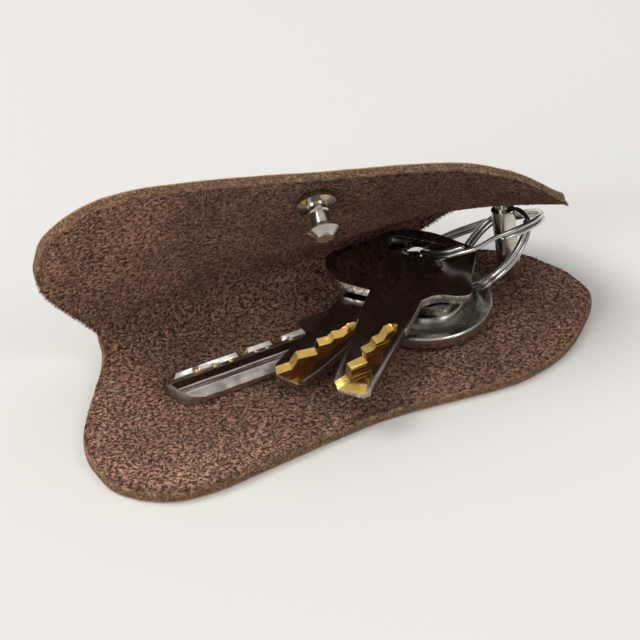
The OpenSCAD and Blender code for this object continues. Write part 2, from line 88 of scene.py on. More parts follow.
# Outline of one flap: share of the length, share of the depth in front of the bend
LEFT_EDGE = [(0.093, 0.053), (0.064, 0.163), (0.022, 0.342), (0.0035, 0.482), (0, 0.6), (0.007, 0.76),
             (0.0345, 0.874)]
FRONT_EDGE = [(0.0345, 0.874), (0.073, 0.952), (0.118, 0.992), (0.178, 1), (0.248, 0.98),
              (0.412, 0.932), (0.493, 0.917), (0.562, 0.925), (0.627, 0.945), (0.7035, 0.972)]
FRONT_CUT = (0.7345, 0.976)
FRONT_RIGHT = [(0.774, 0.975), (0.847, 0.927), (0.908, 0.837), (0.964, 0.7035)]
RIGHT_EDGE = [(0.964, 0.7035), (0.993, 0.61), (1, 0.5075), (0.992, 0.349), (0.969, 0.206)]
# Ends of the bend: share of the length, share of half the bend
LEFT_END = [(0.139, -1), (0.1345, -0.61)]
RIGHT_END = [(0.952, 0.61), (0.913, 0.115), (0.885, -0.153), (0.8115, -0.586), (0.754, -0.841)]

# Rows of the hide's rim from suede to grain: inset from the outline, share of the thickness
RIM = [(0.55, 0.0), (0.2, 0.12), (0.03, 0.34), (0.0, 0.62), (0.06, 0.84), (0.28, 0.97), (0.6, 1.0)]
ROWS, COLUMNS, TAB_COLUMNS = 96, 200, 56
# The upper flap is divided here, and the tab is drawn back to this share of its length
BRIDGE_X, TAB_SHARE = 58.0, 0.93
BUTTONHOLE, SLIT_END = np.array([52.9, -27.3]), np.array([42.5, -29.8])
HOLE_R, SLIT_HALF = 1.8, 0.25

# Coarse nap: height, stretch along the flap, size and seed of each noise, all of it this far down
RELIEF = [(0.07, 1, 2.3, 11), (0.08, 1.4, 1.15, 12), (0.08, 1.6, 0.85, 13)]
RELIEF_DEPTH = 0.28
# The relief fades out round the post's foot
FOOT_R, FOOT_EASE = 4.8, 2.5
# Fine nap: insets of the fibres and of the fringe, and a fibre's two triangles as shares of its
# length, rise and width
NAP_INSET, FRINGE_INSET = 0.35, 0.25
FRINGE_FIBRES, FRINGE_LENGTH = 3000, 1.6
FIBRE_TRIANGLES = ((0.0, -0.25, 1.0), (0.55, 0.8, 0.75))
FIBRE_TIP_RISE, FIBRE_POINTS = 0.75, 7
FIBRE_FACES = [(0, 1, 4), (0, 4, 3), (1, 2, 5), (1, 5, 4), (2, 0, 3), (2, 3, 5), (3, 4, 6), (4, 5, 6),
               (5, 3, 6)]
# Value noise: its lattice, and a start that keeps every place on it positive
LATTICE, LATTICE_START = 97, 1000

# Post and rings, in millimetres from the same place; a place is counted from the post's foot
POST = np.array([CASE_L - 11.6, -9.8, 0.0])
RING_A = {"place": (-5.0, 3.71, 12.27), "tilt": 32.9, "way": 96.3, "radius": 12.9, "end": 150}
RING_B = {"place": (-4.7, -0.1, 10.85), "tilt": 44.6, "way": 151.6, "radius": 9.6, "end": 200}
WIRE_W, WIRE_T, TURN_GAP = 1.1, 0.95, 0.05
# The wire's drawn-in end as degrees and share of the section, where it is full, and how far the
# crossing reaches to both sides of one whole turn
WIRE_END = np.array([(19.0, 0.05), (19.3, 0.6), (20.2, 0.9)])
WIRE_FULL, CROSSING = 21.5, 14
SQUARENESS = 0.75

# Flat keys
KEY_L, KEY_W, KEY_T, BLADE_W, POCKET_D = 49.6, 31.8, 2.0, 7.6, 1.0
SLOT_AT, SLOT_W = 0.888 * KEY_L, 5.0
TIP_CORNER, KEY_BEVEL = 1.2, 0.09
# One side of the blade, then the bow: share of the length, share of the width
KEY_SHANK = [(0.1, 0.135), (0.395, 0.15), (0.4, 0.165)]
KEY_BOW = [(0.58, 0.17), (0.585, 0.3), (0.6, 0.4), (0.659, 0.485), (0.72, 0.47), (0.8, 0.4),
           (0.87, 0.33), (0.944, 0.25), (0.986, 0.138), (1, -0.03), (0.98, -0.2), (0.955, -0.333),
           (0.9, -0.375), (0.82, -0.39), (0.75, -0.42), (0.688, -0.45), (0.655, -0.4), (0.63, -0.25),
           (0.58, -0.17)]
# Mouth of the milled pocket, in millimetres from the tip: the sloped wall's teeth, then the waves
# of the upright one, and how far the sloped wall runs in at the floor
POCKET_SLOPED = [(-0.5, 3.8), (0.3, 3.8), (3.5, 2.1), (6.7, 2.9), (9.7, 0.6), (11.9, 1.8), (13.8, 0.5),
                 (15.4, 0.65), (16.7, -0.4), (19.1, -0.55), (20.2, -1.3)]
POCKET_UPRIGHT = [(20.7, -2.3), (20.3, -3.1), (18.3, -3.45), (16.6, -3.1), (14.7, -3.3), (13.2, -2.8),
                  (11.4, -2.75), (10.2, -3.3), (8.9, -3.3), (7.6, -2.5), (6.1, -2.3), (4.6, -2.9),
                  (2.4, -3.2), (-0.5, -3.4)]
POCKET_SLOPE, POCKET_OVER = (-0.55, -1.15), 0.5
KEY_1 = {"angle": 89.5, "way": 42.8, "slope": 3.9, "hold": (0, -2.55), "lift": 0.35, "slot": 13.6}
KEY_2 = {"angle": 72.5, "way": 23.8, "slope": 5.05, "hold": (1.4, 0.1), "lift": 0.15, "slot": 8.6}

# Dimple key
BOW_PLACE, DIMPLE_WAY, REST_GAP = np.array([-21.8, -2.0]), 1.8, 0.1
BOW_D, BOW_T, RIM_R, CAP_D, CHANNEL = 27.8, 3.0, 10.7, 16.4, 0.6
DIMPLE_L, DIMPLE_T, NECK_L, NECK_W = 33.0, 2.6, 13.5, 13.0
DIMPLE_TIP = -BOW_D / 2 - NECK_L - DIMPLE_L + 1
NECK_T, NECK_CORNER, DIMPLE_BEVEL = BOW_T - 0.32, 0.8, 0.06
# Along the blade, across it from the middle, and diameter
DIMPLES = [(8.8, 2.9, 2.1), (12.6, 2.6, 1.9), (16.1, 2.5, 1.7), (19.3, 3.4, 2.5), (21.9, 2.5, 1.5),
           (24.4, 2.5, 1.5), (27.0, 3.6, 2.5), (29.8, 2.6, 1.8)]
MILLED_Z = 2.05
# Section of the blade from its far edge to its near one, as across and height
BLADE = [(4.1, 0.3), (4.1, 2.5), (3.95, 2.58), (3.2, 1.88), (1.75, 2.08), (1.65, 2.3), (-0.3, 2.3),
         (-0.45, 2.48), (-0.6, 2.3), (-1.85, 2.3), (-2.0, 2.5), (-2.15, 2.5), (-2.3, 2.38),
         (-4.1, 1.45), (-4.1, 0.3), (-3.8, 0), (3.8, 0)]
# Strips of the blade's upper side: from and to across it, and the material's number
BLADE_STRIPS = [(-0.2, 1.6, 1), (1.7, 3.1, 2), (-1.9, -0.6, 2), (-3.9, -2.5, 3)]
# The drawn-in tip: how far behind the solid's tip, across, and the bevel's run at each point
BLADE_TIP = [(6.6, -4.2), (3.7, -3.3), (2.6, -2.1), (1.8, 1.0), (1.6, 2.3), (3.7, 3.5), (4.5, 4.2)]
TIP_BEVEL = [(1.2, 0.6), (1.6, 0.5), (2.0, 0.4), (2.0, 0.1), (2.0, -0.2), (1.4, -0.2), (1.0, 0)]
TIP_BEVEL_SHARE = 0.3
# Hole in the round bow: from and to in degrees, and how far to both sides of the channel's middle
BOW_HOLE, HOLE_IN, HOLE_OUT = (-16, 18), 0.9, 1.5

# Stage: half the floor in millimetres, then metres and degrees
FLOOR_HALF = 1500
# Name, place, size and share of the key lamp's power
LAMPS = (("key_lamp", (-1.0, 0.85, 1.7), 1.1, 1.0), ("side_lamp", (-1.7, -0.45, 0.8), 0.8, 0.52),
         ("glint_lamp", (0.27, -0.45, 0.59), 0.3, 0.03))
SKY = [(0.0, (0.3, 0.295, 0.29)), (0.28, (0.36, 0.355, 0.35)), (0.45, (0.36, 0.355, 0.35)),
       (0.75, (0.66, 0.66, 0.65)), (1.0, (1.0, 0.99, 0.98))]
CAMERA_AZIMUTH, CAMERA_ELEVATION, CAMERA_DISTANCE = -28.3, 37.8, 0.648
CAMERA_TARGET, CAMERA_LENS = (0.0046, 0.01375, 0.0), 178.6


# Curves and the sheet


def smooth(t):
    """Smooth step: t clipped to 0..1, then 3 t^2 - 2 t^3."""
    t = np.clip(t, 0, 1)
    return t * t * (3 - 2 * t)


def spline(points, steps=12):
    """Catmull-Rom curve through the points.

    On each span it is half of
    2 b + (c - a) t + (2 a - 5 b + 4 c - d) t^2 + (3 b - a - 3 c + d) t^3.
    """
    p = np.asarray(points, float)
    q = np.concatenate([p[:1], p, p[-1:]])
    t = (np.arange(steps) / steps)[None, :, None]
    a, b, c, d = (q[k:k + len(p) - 1, None, :] for k in range(4))
    square, cube = 2 * a - 5 * b + 4 * c - d, 3 * b - a - 3 * c + d
    curve = (2 * b + (c - a) * t + square * t**2 + cube * t**3) / 2
    return np.concatenate([curve.reshape(-1, p.shape[1]), p[-1:]])


def evenly(curve, count):
    """The curve sampled at count + 1 places equally far apart along it."""
    run = np.concatenate([[0], np.cumsum(np.linalg.norm(np.diff(curve, axis=0), axis=1))])
    at = np.linspace(0, run[-1], count + 1)
    return np.stack([np.interp(at, run, curve[:, k]) for k in range(curve.shape[1])], axis=1)


def cloud(x, y, size, seed):
    """Value noise from -1 to 1: random numbers on a lattice of this size, joined by smooth steps."""
    lattice = np.random.default_rng(seed).uniform(-1, 1, (LATTICE, LATTICE))
    gx, gy = np.asarray(x) / size + LATTICE_START, np.asarray(y) / size + LATTICE_START
    i, j = np.floor(gx).astype(int), np.floor(gy).astype(int)
    u, v = smooth(gx - i), smooth(gy - j)
    i0, i1, j0, j1 = i % LATTICE, (i + 1) % LATTICE, j % LATTICE, (j + 1) % LATTICE
    low = lattice[i0, j0] * (1 - u) + lattice[i1, j0] * u
    high = lattice[i0, j1] * (1 - u) + lattice[i1, j1] * u
    return low * (1 - v) + high * v


def opening(x):
    """How far the upper flap stands open at x: from left to right by q^2 with a small linear share."""
    q = x / CASE_L
    return OPEN_LEFT - (OPEN_LEFT - OPEN_RIGHT) * (q * q * (1 - OPEN_LINEAR) + q * OPEN_LINEAR)


def bend_end(x):
    """Length of the bend at x: its radius times the angle that it has turned."""
    return BEND_R * np.radians(180 - opening(x))


def hide_turn(x, s):
    """Angle of the hide at length s: 0 on the table, s over the radius in the bend, then easing
    to the flare's angle."""
    flare = FLARE_LEFT + (FLARE_RIGHT - FLARE_LEFT) * x / CASE_L
    eased = np.clip(s - bend_end(x) - FLARE_START, 0, FLARE_L) / FLARE_L
    beyond = 180 - (opening(x) + (flare - opening(x)) * eased)
    in_bend = np.where(s <= bend_end(x), np.degrees(s / BEND_R), beyond)
    return np.radians(np.where(s <= 0, 0, in_bend))


def on_hide(x, s, d):
    """Points of the hide at length s past the start of the bend, d outside its middle.

    The sheet is flat, then a circle, then a straight, an arc and a straight.
    """
    x, s, d = np.broadcast_arrays(np.asarray(x, float), s, d)
    turn = np.radians(180 - opening(x))
    angle = hide_turn(x, s)
    past = s - bend_end(x)
    bent = angle - turn
    unbent = np.abs(bent) < 1e-6
    chord = np.where(unbent, 1, np.sin(bent / 2) / np.where(unbent, 1, bent / 2))
    straight = np.minimum(past, FLARE_START)
    curved = np.clip(past - FLARE_START, 0, FLARE_L) * chord
    outer = np.maximum(past - FLARE_START - FLARE_L, 0)
    half_way = turn + bent / 2
    far_y = (BEND_R * np.sin(turn) + straight * np.cos(turn) + curved * np.cos(half_way)
             + outer * np.cos(angle))
    far_z = (BEND_Z - BEND_R * np.cos(turn) + straight * np.sin(turn) + curved * np.sin(half_way)
             + outer * np.sin(angle))
    y = np.where(s <= 0, s, np.where(past <= 0, BEND_R * np.sin(angle), far_y))
    z = np.where(s <= 0, HIDE_T / 2, np.where(past <= 0, BEND_Z - BEND_R * np.cos(angle), far_z))
    return np.stack([x, y + d * np.sin(angle), z - d * np.cos(angle)], axis=-1) + SHIFT


def pattern_places(shares, depth):
    """Shares of the case's length and of a depth as [x, depth] in millimetres."""
    return [(x * CASE_L, d * depth) for x, d in shares]


def pattern_curves(inset):
    """Edges of half the pattern as [x, depth], moved inwards along the outline's normals.

    The inset is ragged, and both ends stay on the fold's middle line.
    """
    left = spline(pattern_places(LEFT_END, FOLD_HALF) + pattern_places(LEFT_EDGE, FLAP_D))
    front = spline(pattern_places(FRONT_EDGE + [FRONT_CUT] + FRONT_RIGHT, FLAP_D))
    right = spline(pattern_places(RIGHT_EDGE, FLAP_D))
    notch = spline(pattern_places(RIGHT_EDGE[-1:], FLAP_D) + pattern_places(RIGHT_END, FOLD_HALF)
                   + [(CUT_X, -FOLD_HALF)])
    parts = [left, front[1:], right[1:], notch[1:]]
    loop = np.concatenate(parts)
    along = np.gradient(loop, axis=0)
    normal = np.stack([along[:, 1], -along[:, 0]], axis=1)
    normal /= np.linalg.norm(normal, axis=1, keepdims=True)
    inwards = -normal if np.dot(normal[0], [1, 0]) < 0 else normal
    inwards[0] = (1, 0)
    inwards[-1] = (-1, 0)
    ragged = 1 + 0.35 * cloud(loop[:, 0], loop[:, 1], 1.7, 5)
    loop = loop + inwards * inset * ragged[:, None]
    ends = np.cumsum([len(p) for p in parts])
    return loop[:ends[0]], loop[ends[0] - 1:ends[1]], loop[ends[1] - 1:ends[2]], loop[ends[2] - 1:]


def between(bottom, top, left, right):
    """Coons patch between four edges: the two ruled sheets added, less the one through the corners."""
    u = np.linspace(0, 1, len(bottom))[None, :, None]
    v = np.linspace(0, 1, len(left))[:, None, None]
    ruled = (1 - v) * bottom[None] + v * top[None] + (1 - u) * left[:, None] + u * right[:, None]
    low, high = (1 - u) * bottom[0] + u * bottom[-1], (1 - u) * top[0] + u * top[-1]
    return ruled - ((1 - v) * low + v * high)


def patch_of(name, inset):
    """One patch of the pattern as [x, s] rows: the lower half, the upper flap up to the cut, or the
    post's tab."""
    left, front, right, notch = pattern_curves(inset)
    seam_x = np.linspace(left[0, 0], notch[-1, 0], COLUMNS + 1)
    seam = np.stack([seam_x, np.full(COLUMNS + 1, -FOLD_HALF)], axis=1)
    at_cut = np.argmin(np.abs(front[:, 0] - CUT_X))
    cut_line = notch[-1] + (front[at_cut] - notch[-1]) * np.linspace(0, 1, ROWS + 1)[:, None]
    if name == "lower":
        side = np.concatenate([notch[::-1], right[::-1][1:]])
        rows = between(seam, evenly(front, COLUMNS), evenly(left, ROWS), evenly(side, ROWS))
        return np.stack([rows[..., 0], -rows[..., 1]], axis=-1)
    if name == "upper":
        rows = between(seam, evenly(front[:at_cut + 1], COLUMNS), evenly(left, ROWS), cut_line)
    else:
        rows = between(evenly(notch[::-1], TAB_COLUMNS), evenly(front[at_cut:], TAB_COLUMNS),
                       cut_line, evenly(right[::-1], ROWS))
        past = rows[..., 0] - CUT_X
        rows[..., 0] = np.where(past > 0, CUT_X + past * TAB_SHARE, rows[..., 0])
    return np.stack([rows[..., 0], rows[..., 1] + 2 * FOLD_HALF], axis=-1)


def bridge_column():
    """Column of the upper flap's patch at which the flap is divided."""
    return int(np.argmin(np.abs(patch_of("upper", 0.3)[0, :, 0] - BRIDGE_X)))


# The hide and its nap as points, faces and values


def suede_relief(x, s):
    """Height of the coarse nap, all under the hide's face: value noises of three sizes added, which
    fade out round the post's foot."""
    relief = sum(high * cloud(x, s * stretch, size, seed) for high, stretch, size, seed in RELIEF)
    away = np.hypot(x - POST[0], s - POST[1])
    return (relief - RELIEF_DEPTH) * smooth((away - FOOT_R) / FOOT_EASE)


def ring_of(rows, columns):
    """Indices of a grid's border, counter-clockwise from its first corner."""
    grid = np.arange(rows * columns).reshape(rows, columns)
    return np.concatenate([grid[0, :-1], grid[:-1, -1], grid[-1, :0:-1], grid[:0:-1, 0]])


def hide_patch(name, first=0, last=None, open_sides=()):
    """A thick patch of hide: its suede and grain grids, with rim rows between their borders.

    Returns points, quads, and per point its place in the pattern and its share
    of the thickness. An open side has no rim.
    """
    points, values, starts = [], [], [0]
    for k, (inset, share) in enumerate(RIM):
        rows = patch_of(name, inset)[:, first:last]
        m, n = rows.shape[:2]
        border = ring_of(m, n)
        flat = rows.reshape(-1, 2)
        if 0 < k < len(RIM) - 1:
            flat = flat[border]
        relief = suede_relief(flat[:, 0], flat[:, 1]) if share == 0 else 0
        points.append(on_hide(flat[:, 0], flat[:, 1], HIDE_T * (share - 0.5) - relief))
        values.append(np.column_stack([flat, np.full(len(flat), share)]))
        starts.append(starts[-1] + len(flat))
    cell = (np.arange(m - 1)[:, None] * n + np.arange(n - 1)[None]).reshape(-1)
    inner = np.column_stack([cell, cell + 1, cell + n + 1, cell + n])
    outer = inner[:, ::-1] + starts[-2]
    sides = np.repeat(("bottom", "right", "top", "left"), (n - 1, m - 1, n - 1, m - 1))
    keep = ~np.isin(sides, open_sides)
    loops = [border] + [np.arange(len(border)) + k for k in starts[1:-2]] + [border + starts[-2]]
    walls = [np.column_stack([low, high, np.roll(high, -1), np.roll(low, -1)])[keep]
             for low, high in zip(loops, loops[1:])]
    quads = np.concatenate([inner, outer] + walls)
    if name == "lower":
        quads = quads[:, ::-1]
    return np.concatenate(points), quads, np.concatenate(values)


def joined(*patches):
    """Patches as one set of points, faces and values."""
    points, faces, values = zip(*patches)
    offsets = np.cumsum([0] + [len(p) for p in points[:-1]])
    moved = [f + offset for f, offset in zip(faces, offsets)]
    return np.concatenate(points), np.concatenate(moved), np.concatenate(values)


def nap_points(x, s, lie, length, rise, width, through):
    """Fibres as thin three-sided cones bent once, laid on the hide's sheet.

    Each has a triangle at the root, one half way and higher, and a drooping tip.
    """
    ground = -HIDE_T / 2 + HIDE_T * through - suede_relief(x, s) * (through == 0)
    along, across = (np.cos(lie), np.sin(lie)), (-np.sin(lie), np.cos(lie))
    corners = []
    for reach, lift, thick in FIBRE_TRIANGLES:
        for side, up in ((-1, 0.0), (1, 0.0), (0, 1.0)):
            px = x + along[0] * reach * length + across[0] * side * width * thick
            ps = s + along[1] * reach * length + across[1] * side * width * thick
            corners.append(on_hide(px, ps, ground - lift * rise - up * width * thick * 1.5))
    tip = (x + along[0] * length, s + along[1] * length)
    corners.append(on_hide(*tip, ground - FIBRE_TIP_RISE * rise))
    points = np.stack(corners, axis=1).reshape(-1, 3)
    first = np.arange(len(x))[:, None, None] * FIBRE_POINTS
    faces = (first + np.array(FIBRE_FACES)[None]).reshape(-1, 3)
    return points, faces, np.repeat(np.column_stack([x, s, through]), FIBRE_POINTS, axis=0)


def nap_of(name, count, length, seed, first=0, last=None):
    """Fibres spread evenly over a patch by the area of its cells, lying one way in drifting swirls."""
    rng = np.random.default_rng(seed)
    rows = patch_of(name, NAP_INSET)[:, first:last]
    a, b, c, d = rows[:-1, :-1], rows[:-1, 1:], rows[1:, 1:], rows[1:, :-1]
    ac, bd = c - a, d - b
    area = np.abs(ac[..., 0] * bd[..., 1] - ac[..., 1] * bd[..., 0]).ravel()
    cell = rng.choice(len(area), count, p=area / area.sum())
    u, v = rng.random((2, count, 1))
    a, b, c, d = (corner.reshape(-1, 2)[cell] for corner in (a, b, c, d))
    x, s = ((a * (1 - u) + b * u) * (1 - v) + (d * (1 - u) + c * u) * v).T
    lie = (np.radians(215) + 0.8 * cloud(x, s, 9.0, 31) + 0.9 * cloud(x, s, 2.6, 32)
           + rng.normal(0, 0.6, count))
    long = length * rng.uniform(0.5, 1.2, count)
    rise = long * rng.uniform(0.1, 0.34, count)
    return nap_points(x, s, lie, long, rise, rng.uniform(0.04, 0.075, count), np.zeros(count))


def fringe_of(name, count, length, seed, outer_sides, first=0, last=None):
    """Ragged fibres that stand out of the cut edge next to the suede, at random places along the
    patch's outer sides."""
    rng = np.random.default_rng(seed)
    rows = patch_of(name, FRINGE_INSET)[:, first:last]
    sides = {"bottom": rows[0], "right": rows[:, -1], "top": rows[-1, ::-1], "left": rows[::-1, 0]}
    spans = [np.stack([sides[k][:-1], sides[k][1:]], axis=1) for k in outer_sides]
    start, end = np.concatenate(spans).transpose(1, 0, 2)
    run = np.linalg.norm(end - start, axis=1)
    pick = rng.choice(len(run), count, p=run / run.sum())
    t = rng.random((count, 1))
    x, s = (start[pick] * (1 - t) + end[pick] * t).T
    way = end[pick] - start[pick]
    out = np.arctan2(-way[:, 0], way[:, 1])
    long = length * rng.uniform(0.3, 1.0, count)
    through = rng.choice([0.0, 0.08, 0.2, 0.32], count, p=[0.45, 0.25, 0.2, 0.1])
    lie = out + rng.normal(0, 0.7, count)
    rise = long * rng.uniform(-0.1, 0.6, count)
    return nap_points(x, s, lie, long, rise, rng.uniform(0.04, 0.08, count), through)


# Meshes


def linked(name, mesh):
    """A new object of the mesh at the origin."""
    obj = bpy.data.objects.new(name, mesh)
    bpy.context.scene.collection.objects.link(obj)
    return obj


def cleaned(mesh, merge=0.0, outwards=True):
    """Merges points closer than a distance in metres, and turns the faces outwards."""
    bm = bmesh.new()
    bm.from_mesh(mesh)
    if merge:
        bmesh.ops.remove_doubles(bm, verts=bm.verts, dist=merge)
    if outwards:
        bmesh.ops.dissolve_degenerate(bm, edges=bm.edges, dist=1e-7)
        bmesh.ops.recalc_face_normals(bm, faces=bm.faces)
    bm.to_mesh(mesh)
    bm.free()


def mesh_object(name, points, faces, smooth_faces=True):
    """A new object from points in millimetres and faces of one size."""
    faces = np.asarray(faces)
    mesh = bpy.data.meshes.new(name)
    mesh.vertices.add(len(points))
    mesh.vertices.foreach_set("co", (np.asarray(points, float) * MM).astype(np.float32).ravel())
    size = faces.shape[1]
    mesh.loops.add(faces.size)
    mesh.loops.foreach_set("vertex_index", faces.astype(np.int32).ravel())
    mesh.polygons.add(len(faces))
    mesh.polygons.foreach_set("loop_start", np.arange(len(faces), dtype=np.int32) * size)
    mesh.polygons.foreach_set("use_smooth", np.full(len(faces), smooth_faces))
    mesh.update()
    mesh.validate()
    return linked(name, mesh)


def hide_object(name, patch, material, merge=0.0):
    """A piece of hide or nap, with its pattern places and share of the thickness on its points."""
    points, faces, values = patch
    obj = mesh_object(name, points, faces)
    mesh = obj.data
    flat = np.column_stack([values[:, :2] * MM, np.zeros(len(values))]).astype(np.float32)
    mesh.attributes.new("pattern", "FLOAT_VECTOR", "POINT").data.foreach_set("vector", flat.ravel())
    share = values[:, 2].astype(np.float32)
    mesh.attributes.new("through", "FLOAT", "POINT").data.foreach_set("value", share)
    if merge:
        cleaned(mesh, merge, outwards=False)
    mesh.materials.append(material)
    return obj


def bend_hide(obj):
    """Bends a piece from the case to the flap up the fold, and less and less towards the cut, beside
    which the post holds the hide."""
    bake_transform(obj, "case", "flap", start=(0, 0, HIDE_T * MM), end=(0, 0, 0.013))
    weights = obj.data.attributes["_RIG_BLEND"].data
    values = np.empty(len(weights), np.float32)
    weights.foreach_get("value", values)
    co = np.empty(len(weights) * 3, np.float32)
    obj.data.vertices.foreach_get("co", co)
    x = co[::3] / MM - SHIFT[0]
    eased = smooth((CUT_X - x) / (CUT_X - BRIDGE_X))
    weights.foreach_set("value", (values * eased).astype(np.float32))


def turned(axis, degrees):
    """Rotation matrix about X, Y or Z."""
    c, s = math.cos(math.radians(degrees)), math.sin(math.radians(degrees))
    return {"X": np.array([(1, 0, 0), (0, c, -s), (0, s, c)]),
            "Y": np.array([(c, 0, s), (0, 1, 0), (-s, 0, c)]),
            "Z": np.array([(c, -s, 0), (s, c, 0), (0, 0, 1)])}[axis]


def in_ring(ring, points):
    """Points of a ring's own flat frame, turned by its tilt and its way and moved to its place."""
    matrix = turned("Z", ring["way"]) @ turned("Y", ring["tilt"])
    return np.asarray(points) @ matrix.T + POST + np.array(ring["place"]) + SHIFT


def on_ring(ring, degrees):
    """Point of a ring's middle line: its radius turned by the angle."""
    angle = math.radians(degrees)
    return in_ring(ring, (ring["radius"] * math.cos(angle), ring["radius"] * math.sin(angle), 0))


def round_quads(rows, sides):
    """Quads between rows of points that each close on themselves."""
    k, i = np.arange(rows - 1)[:, None] * sides, np.arange(sides)[None]
    j = (i + 1) % sides
    return np.stack([k + i, k + sides + i, k + sides + j, k + j], axis=-1).reshape(-1, 4)


def coil_points(ring, steps=420, sides=16):
    """Split ring: a flattened round section carried twice round the circle.

    It rises by a smooth step where the turns cross, and its ends are drawn in.
    """
    start, share = WIRE_END.T
    full = np.linspace(WIRE_FULL, 720 - WIRE_FULL, steps)
    a = np.concatenate([start, full, 720 - start[::-1]])
    drawn = np.concatenate([share, np.ones(steps), share[::-1]])[:, None]
    crossed = smooth((a - 360 + CROSSING) / (2 * CROSSING)) - 0.5
    level = crossed[:, None] * (WIRE_T + TURN_GAP)
    t = np.linspace(0, 2 * np.pi, sides, endpoint=False)[None]
    wide = np.sign(np.cos(t)) * np.abs(np.cos(t)) ** SQUARENESS * WIRE_W / 2 * drawn
    tall = np.sign(np.sin(t)) * np.abs(np.sin(t)) ** SQUARENESS * WIRE_T / 2 * drawn
    angle = np.radians(a)[:, None] + math.radians(ring["end"])
    r = ring["radius"] + wide
    flat = np.stack([r * np.cos(angle), r * np.sin(angle), level + tall + 0 * angle], axis=-1)
    return in_ring(ring, flat.reshape(-1, 3)), round_quads(len(a), sides)


def shell(name, low, high, materials):
    """A closed shape between two loops of [x, y, z] points: a face over each, and quads between."""
    n = len(low)
    i = np.arange(n)
    j = (i + 1) % n
    sides = np.column_stack([i, j, n + j, n + i]).tolist()
    mesh = bpy.data.meshes.new(name)
    mesh.from_pydata(np.concatenate([low, high]) * MM, [],
                     [i[::-1].tolist(), (n + i).tolist()] + sides)
    cleaned(mesh)
    for material in materials:
        mesh.materials.append(material)
    return linked(name, mesh)


def prism(name, outline, low, high, material, upper=None):
    """A closed prism over an outline of [x, y] points, from one height to another, where it may have
    another outline."""
    loops = [np.column_stack([np.asarray(loop, float), np.full(len(loop), z)])
             for z, loop in ((low, outline), (high, outline if upper is None else upper))]
    return shell(name, *loops, [material])


def lathed(name, profile, material, sides=144, centre=(0, 0)):
    """A closed turned shape: the profile of [radius, height] points carried round the Z axis at a
    centre."""
    profile = np.asarray(profile, float)
    t = np.linspace(0, 2 * np.pi, sides, endpoint=False)
    r, z = profile[:, :1], profile[:, 1:]
    points = np.stack([centre[0] + r * np.cos(t), centre[1] + r * np.sin(t), z + 0 * t], axis=-1)
    quads = round_quads(len(profile), sides)[:, [0, 3, 2, 1]]
    obj = mesh_object(name, points.reshape(-1, 3), quads, False)
    cleaned(obj.data, 1e-6)
    obj.data.materials.append(material)
    return obj


def applied(obj):
    """The object with its modifiers worked into its mesh."""
    graph = bpy.context.evaluated_depsgraph_get()
    mesh = bpy.data.meshes.new_from_object(obj.evaluated_get(graph), depsgraph=graph)
    obj.modifiers.clear()
    old, obj.data = obj.data, mesh
    bpy.data.meshes.remove(old)
    return obj


def carved(obj, tools, operation="DIFFERENCE", solver="EXACT"):
    """The object after each tool shape is cut from it or joined to it.

    Cut faces keep the tool's material, and the tools go.
    """
    for tool in tools:
        cut = obj.modifiers.new("cut", "BOOLEAN")
        cut.operation = operation
        cut.solver = solver
        cut.material_mode = "TRANSFER" if solver == "EXACT" else "INDEX"
        cut.object = tool
    applied(obj)
    for tool in tools:
        bpy.data.meshes.remove(tool.data)
    return obj


def worn_edges(obj, width, edge_material, angle=28):
    """Narrow bright bevels on every edge sharper than the angle, and smooth shading over the rest."""
    materials = obj.data.materials
    if materials.find(edge_material.name) < 0:
        materials.append(edge_material)
    bevel = obj.modifiers.new("worn", "BEVEL")
    bevel.width = width * MM
    bevel.segments = 2
    bevel.limit_method = "ANGLE"
    bevel.angle_limit = math.radians(angle)
    bevel.material = materials.find(edge_material.name)
    bevel.use_clamp_overlap = True
    mesh = applied(obj).data
    mesh.polygons.foreach_set("use_smooth", np.ones(len(mesh.polygons), bool))
    mesh.set_sharp_from_angle(angle=math.radians(32))
    return obj


def placed(obj, matrix, offset):
    """Turns and moves the object's points, in millimetres, so that its place is in its mesh."""
    mesh = obj.data
    co = np.empty(len(mesh.vertices) * 3, np.float32)
    mesh.vertices.foreach_get("co", co)
    moved = co.reshape(-1, 3) @ np.asarray(matrix).T.astype(np.float32)
    moved = moved + (np.asarray(offset) * MM).astype(np.float32)
    mesh.vertices.foreach_set("co", moved.ravel())
    mesh.update()
    return obj


